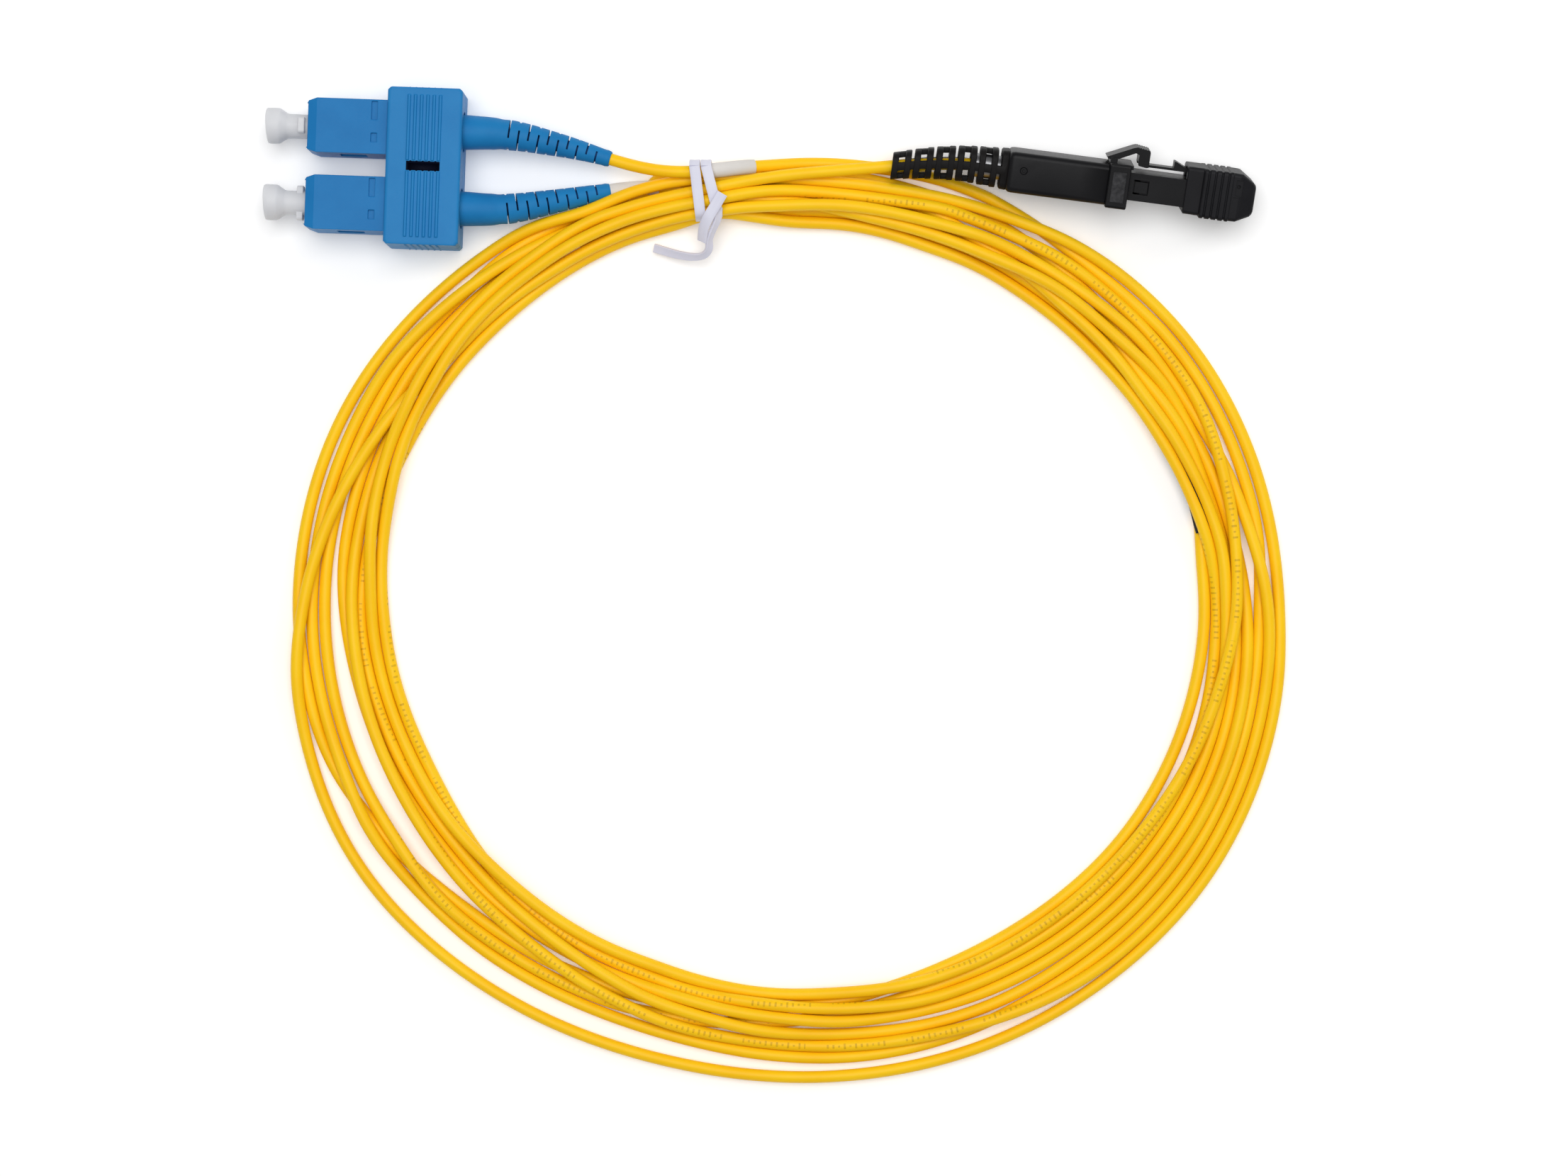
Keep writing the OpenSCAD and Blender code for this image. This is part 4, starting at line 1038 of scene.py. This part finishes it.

# ---------- springs ------------------------------------------------------


def spring(node, first, last, radius, wire, place, fixed_end):
    """A wound spring with closed end turns."""
    turns, steps = 9, 22
    rings = []
    for k in range(turns * steps + 1):
        part = k / (turns * steps)
        # The end turns lie flat against each other
        eased = part - 0.045 * math.sin(2 * math.pi * part)
        a = 2 * math.pi * k / steps
        x, r = first + wire / 2 + (last - first - wire) * eased, radius - wire / 2
        p = np.array([x, r * math.cos(a), r * math.sin(a)])
        out = np.array([0, math.cos(a), math.sin(a)])
        rings.append([place(p + wire / 2 * (math.cos(b) * out + math.sin(b) * np.array([1, 0, 0])))
                      for b in once_round(10)])
    obj = loft(node + "_wound", rings, STEEL)
    axis = place((1, 0, 0)) - place((0, 0, 0))
    tuple(place((fixed_end, 0, 0)) * MM)
    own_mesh(obj)
    stands_for(obj, "steel", node)


for side, end in ((1, "a"), (-1, "b")):
    low, high = (c[0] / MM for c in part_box("ferrule_spring_" + end))
    spring("ferrule_spring_" + end, low, high, 2.15, 0.4,
           lambda p: np.array([p[0], side * SIDE_Y + p[1], AXIS_Z + p[2]]),
           high)
spring("jack_ferrule_spring", 14.0, 22.0, 1.65, 0.35,
       lambda p: at_jack((p[0], p[1] + JACK_AXIS_Y, p[2])), 14.0)

# ---------- tie and sleeves ----------


def ribbon(name, rows, width, thick):
    """A flat band; each row is a layout point, then the way that its face looks there."""
    path = smooth_route([here(row[:3]) for row in rows], 3)
    looks = smooth_route([here(row[3:]) for row in rows], 3)
    rings = []
    for p, d, n in zip(path, np.gradient(np.array(path), axis=0), looks):
        d = d / np.linalg.norm(d)
        n = n - d * (n @ d)
        n /= np.linalg.norm(n)
        s = np.cross(n, d)
        outline = [(1, -0.6), (1, 0.6), (0.86, 1), (0.25, 0.8), (-0.25, 0.8), (-0.86, 1), (-1, 0.6),
                   (-1, -0.6), (-0.86, -1), (0.86, -1)]
        rings.append([turned(p + s * a * width / 2 + n * b * thick / 2) for a, b in outline])
    return loft(name, rings, TIE_WHITE, body=None)


def tie_loop(name, x_top, x_low, y_top, y_low):
    """One turn of the tie round the bundle: over the top, and flat on the floor below."""
    top, side = 6.75, 0.3
    x_mid, y_mid = (x_low + x_top) / 2, (y_top + y_low) / 2
    rows = [(x_top, y_top - 1.2, top, 0, 0, 1), (x_mid, y_mid, top + 0.15, 0, 0, 1),
            (x_low, y_low + 1.2, top - 0.15, 0, 0, 1), (x_low + 0.1, y_low + side, 5.6, 0, -1, 0.6),
            (x_low + 0.1, y_low, 3.6, 0, -1, 0), (x_low, y_low + side, 1.2, 0, -1, -0.5),
            (x_low, y_low + 1.4, 0.32, 0, 0, -1), (x_mid, y_mid, 0.3, 0, 0, -1),
            (x_top, y_top - 1.4, 0.32, 0, 0, -1), (x_top, y_top - side, 1.2, 0, 1, -0.5),
            (x_top, y_top, 3.6, 0, 1, 0), (x_top, y_top - side, 5.6, 0, 1, 0.6),
            (x_top, y_top - 1.2, top, 0, 0, 1)]
    return ribbon(name, rows, 1.75, 0.45)


tie = tie_loop("tie_bands", 44.7, 45.6, 1.5, -8.3)
tie_right = tie_loop("tie_right", 46.6, 48.3, 1.5, -7.6)
SHORT_END = [(49.3, -4.3, 7.5, 0.3, 0.2, 1), (48.2, -6.2, 7.5, 0.3, 0.2, 1), (47.0, -8.2, 7.3, 0, 0, 1),
             (46.2, -10.0, 6.4, -0.4, 0, 1), (45.9, -12.0, 5.2, -0.7, 0, 1)]
LONG_END = [(48.6, -6.6, 6.6, 0.5, 0, 1), (48.5, -8.4, 6.2, 0.8, -0.2, 0.8),
            (47.7, -10.2, 5.6, 0.9, -0.4, 0.6), (47.1, -11.8, 5.0, 0.9, -0.2, 0.7),
            (47.0, -13.2, 4.2, 0.6, -0.6, 0.7), (46.0, -14.2, 3.4, 0.2, -0.8, 0.7),
            (43.8, -14.3, 2.6, 0, -0.7, 0.8), (41.0, -13.7, 1.9, 0, -0.6, 0.9),
            (37.8, -12.7, 1.3, 0, -0.5, 1)]
for part in (tie_right, ribbon("tie_short_end", SHORT_END, 1.8, 0.5), ribbon("tie_tail", LONG_END, 1.5, 0.5)):
    shaped_by(tie, "UNION", part)
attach(tie, "cord_assembly")
smooth_by_angle(tie, 45)
stands_for(tie, "tie_white", "twist_tie")

LABEL_BORE = 1.02


def label(name, path, first, last, r_out):
    """A label sleeve round a cord, on its path from one layout point to another."""
    path = np.array(path)
    i, j = (int(np.argmin(np.linalg.norm(path - turned(p), axis=1))) for p in (first, last))
    run = path[i:j + 1]
    outer = circle_rings(run, [r_out - 0.06] + [r_out] * (len(run) - 2) + [r_out - 0.06], 28)
    inner = circle_rings(run, [LABEL_BORE] * len(run), 28)
    return smooth_by_angle(loft(name, outer + inner[::-1], LABEL, loop=True), 50)


label_a = label("label_sleeve_on_a", leg_a_path, (47.6, -0.2, 5.3), LEG_A_ROUTE[5], 1.24)
label_b = label("label_sleeve_on_b", leg_b_path, unturned(boot_centre(-1, BOOT_END_X)), LEG_B_ROUTE[2], 1.2)
stands_for(label_a, "label_white", "label_sleeve_a")
stands_for(label_b, "label_white", "label_sleeve_b")


def breakout():
    """The breakout sleeve, wide at the legs' end and drawn down on the trunk."""
    half_angle = math.degrees(SLEEVE_LEN / 2 / COIL_RADIUS.mean())
    stations = np.linspace(-1, 1, 17)
    path = [turned(coil_place(SLEEVE_TURN + k * half_angle, SLEEVE_OFFSET, SLEEVE_R)) for k in stations]
    _, across, up = axes_along(path)
    rings = []
    for k, p, s, u in zip(stations, path, across, up):
        end = 0.12 if abs(k) == 1 else 0.0
        tall = 1.62 - end
        wide = 1.62 + 0.5 * min(1.0, max(0.0, 0.2 - k) / 0.6) - end
        rings.append([p + wide * math.cos(a) * s + tall * math.sin(a) * u for a in once_round(32)])
    return smooth_by_angle(loft("breakout_shrink_sleeve", rings, RUBBER), 50)


breakout_piece = breakout()
stands_for(breakout_piece, "black_rubber", "breakout_sleeve")

# ---------- light and floor ----------

floor_mesh = bpy.data.meshes.new("floor")
corners = [(x, y, -0.0002) for x, y in ((-3, -3), (3, -3), (3, 3), (-3, 3))]
floor_mesh.from_pydata(corners, [], [(0, 1, 2, 3)])
floor = bpy.data.objects.new("floor", floor_mesh)
bpy.context.scene.collection.objects.link(floor)
paper = Nodes("white_paper")
paper.set(Base_Color=(0.95, 0.95, 0.95, 1), Roughness=0.9, Emission_Color=(1, 1, 1, 1),
          Emission_Strength=0.14)
floor_mesh.materials.append(paper.material)

world = bpy.data.worlds.new("studio")
bpy.context.scene.world = world
world.use_nodes = True
background = world.node_tree.nodes["Background"].inputs
background["Color"].default_value, background["Strength"].default_value = (1, 1, 1, 1), 0.33

LIT_POINT = (0.06, -0.07, 0)


def soft_light(name, place, size, power):
    data = bpy.data.lights.new(name, "AREA")
    data.size, data.energy, data.specular_factor = size, power, 0.6
    light = bpy.data.objects.new(name, data)
    light.location = place
    light.rotation_euler = (Vector(LIT_POINT) - Vector(place)).to_track_quat("-Z", "Y").to_euler()
    bpy.context.scene.collection.objects.link(light)


soft_light("overhead", (0.0, 0.1, 1.1), 0.9, 9.0)
soft_light("side", (0.7, 0.5, 0.5), 0.5, 1.4)
bpy.context.scene.view_settings.view_transform = "Standard"
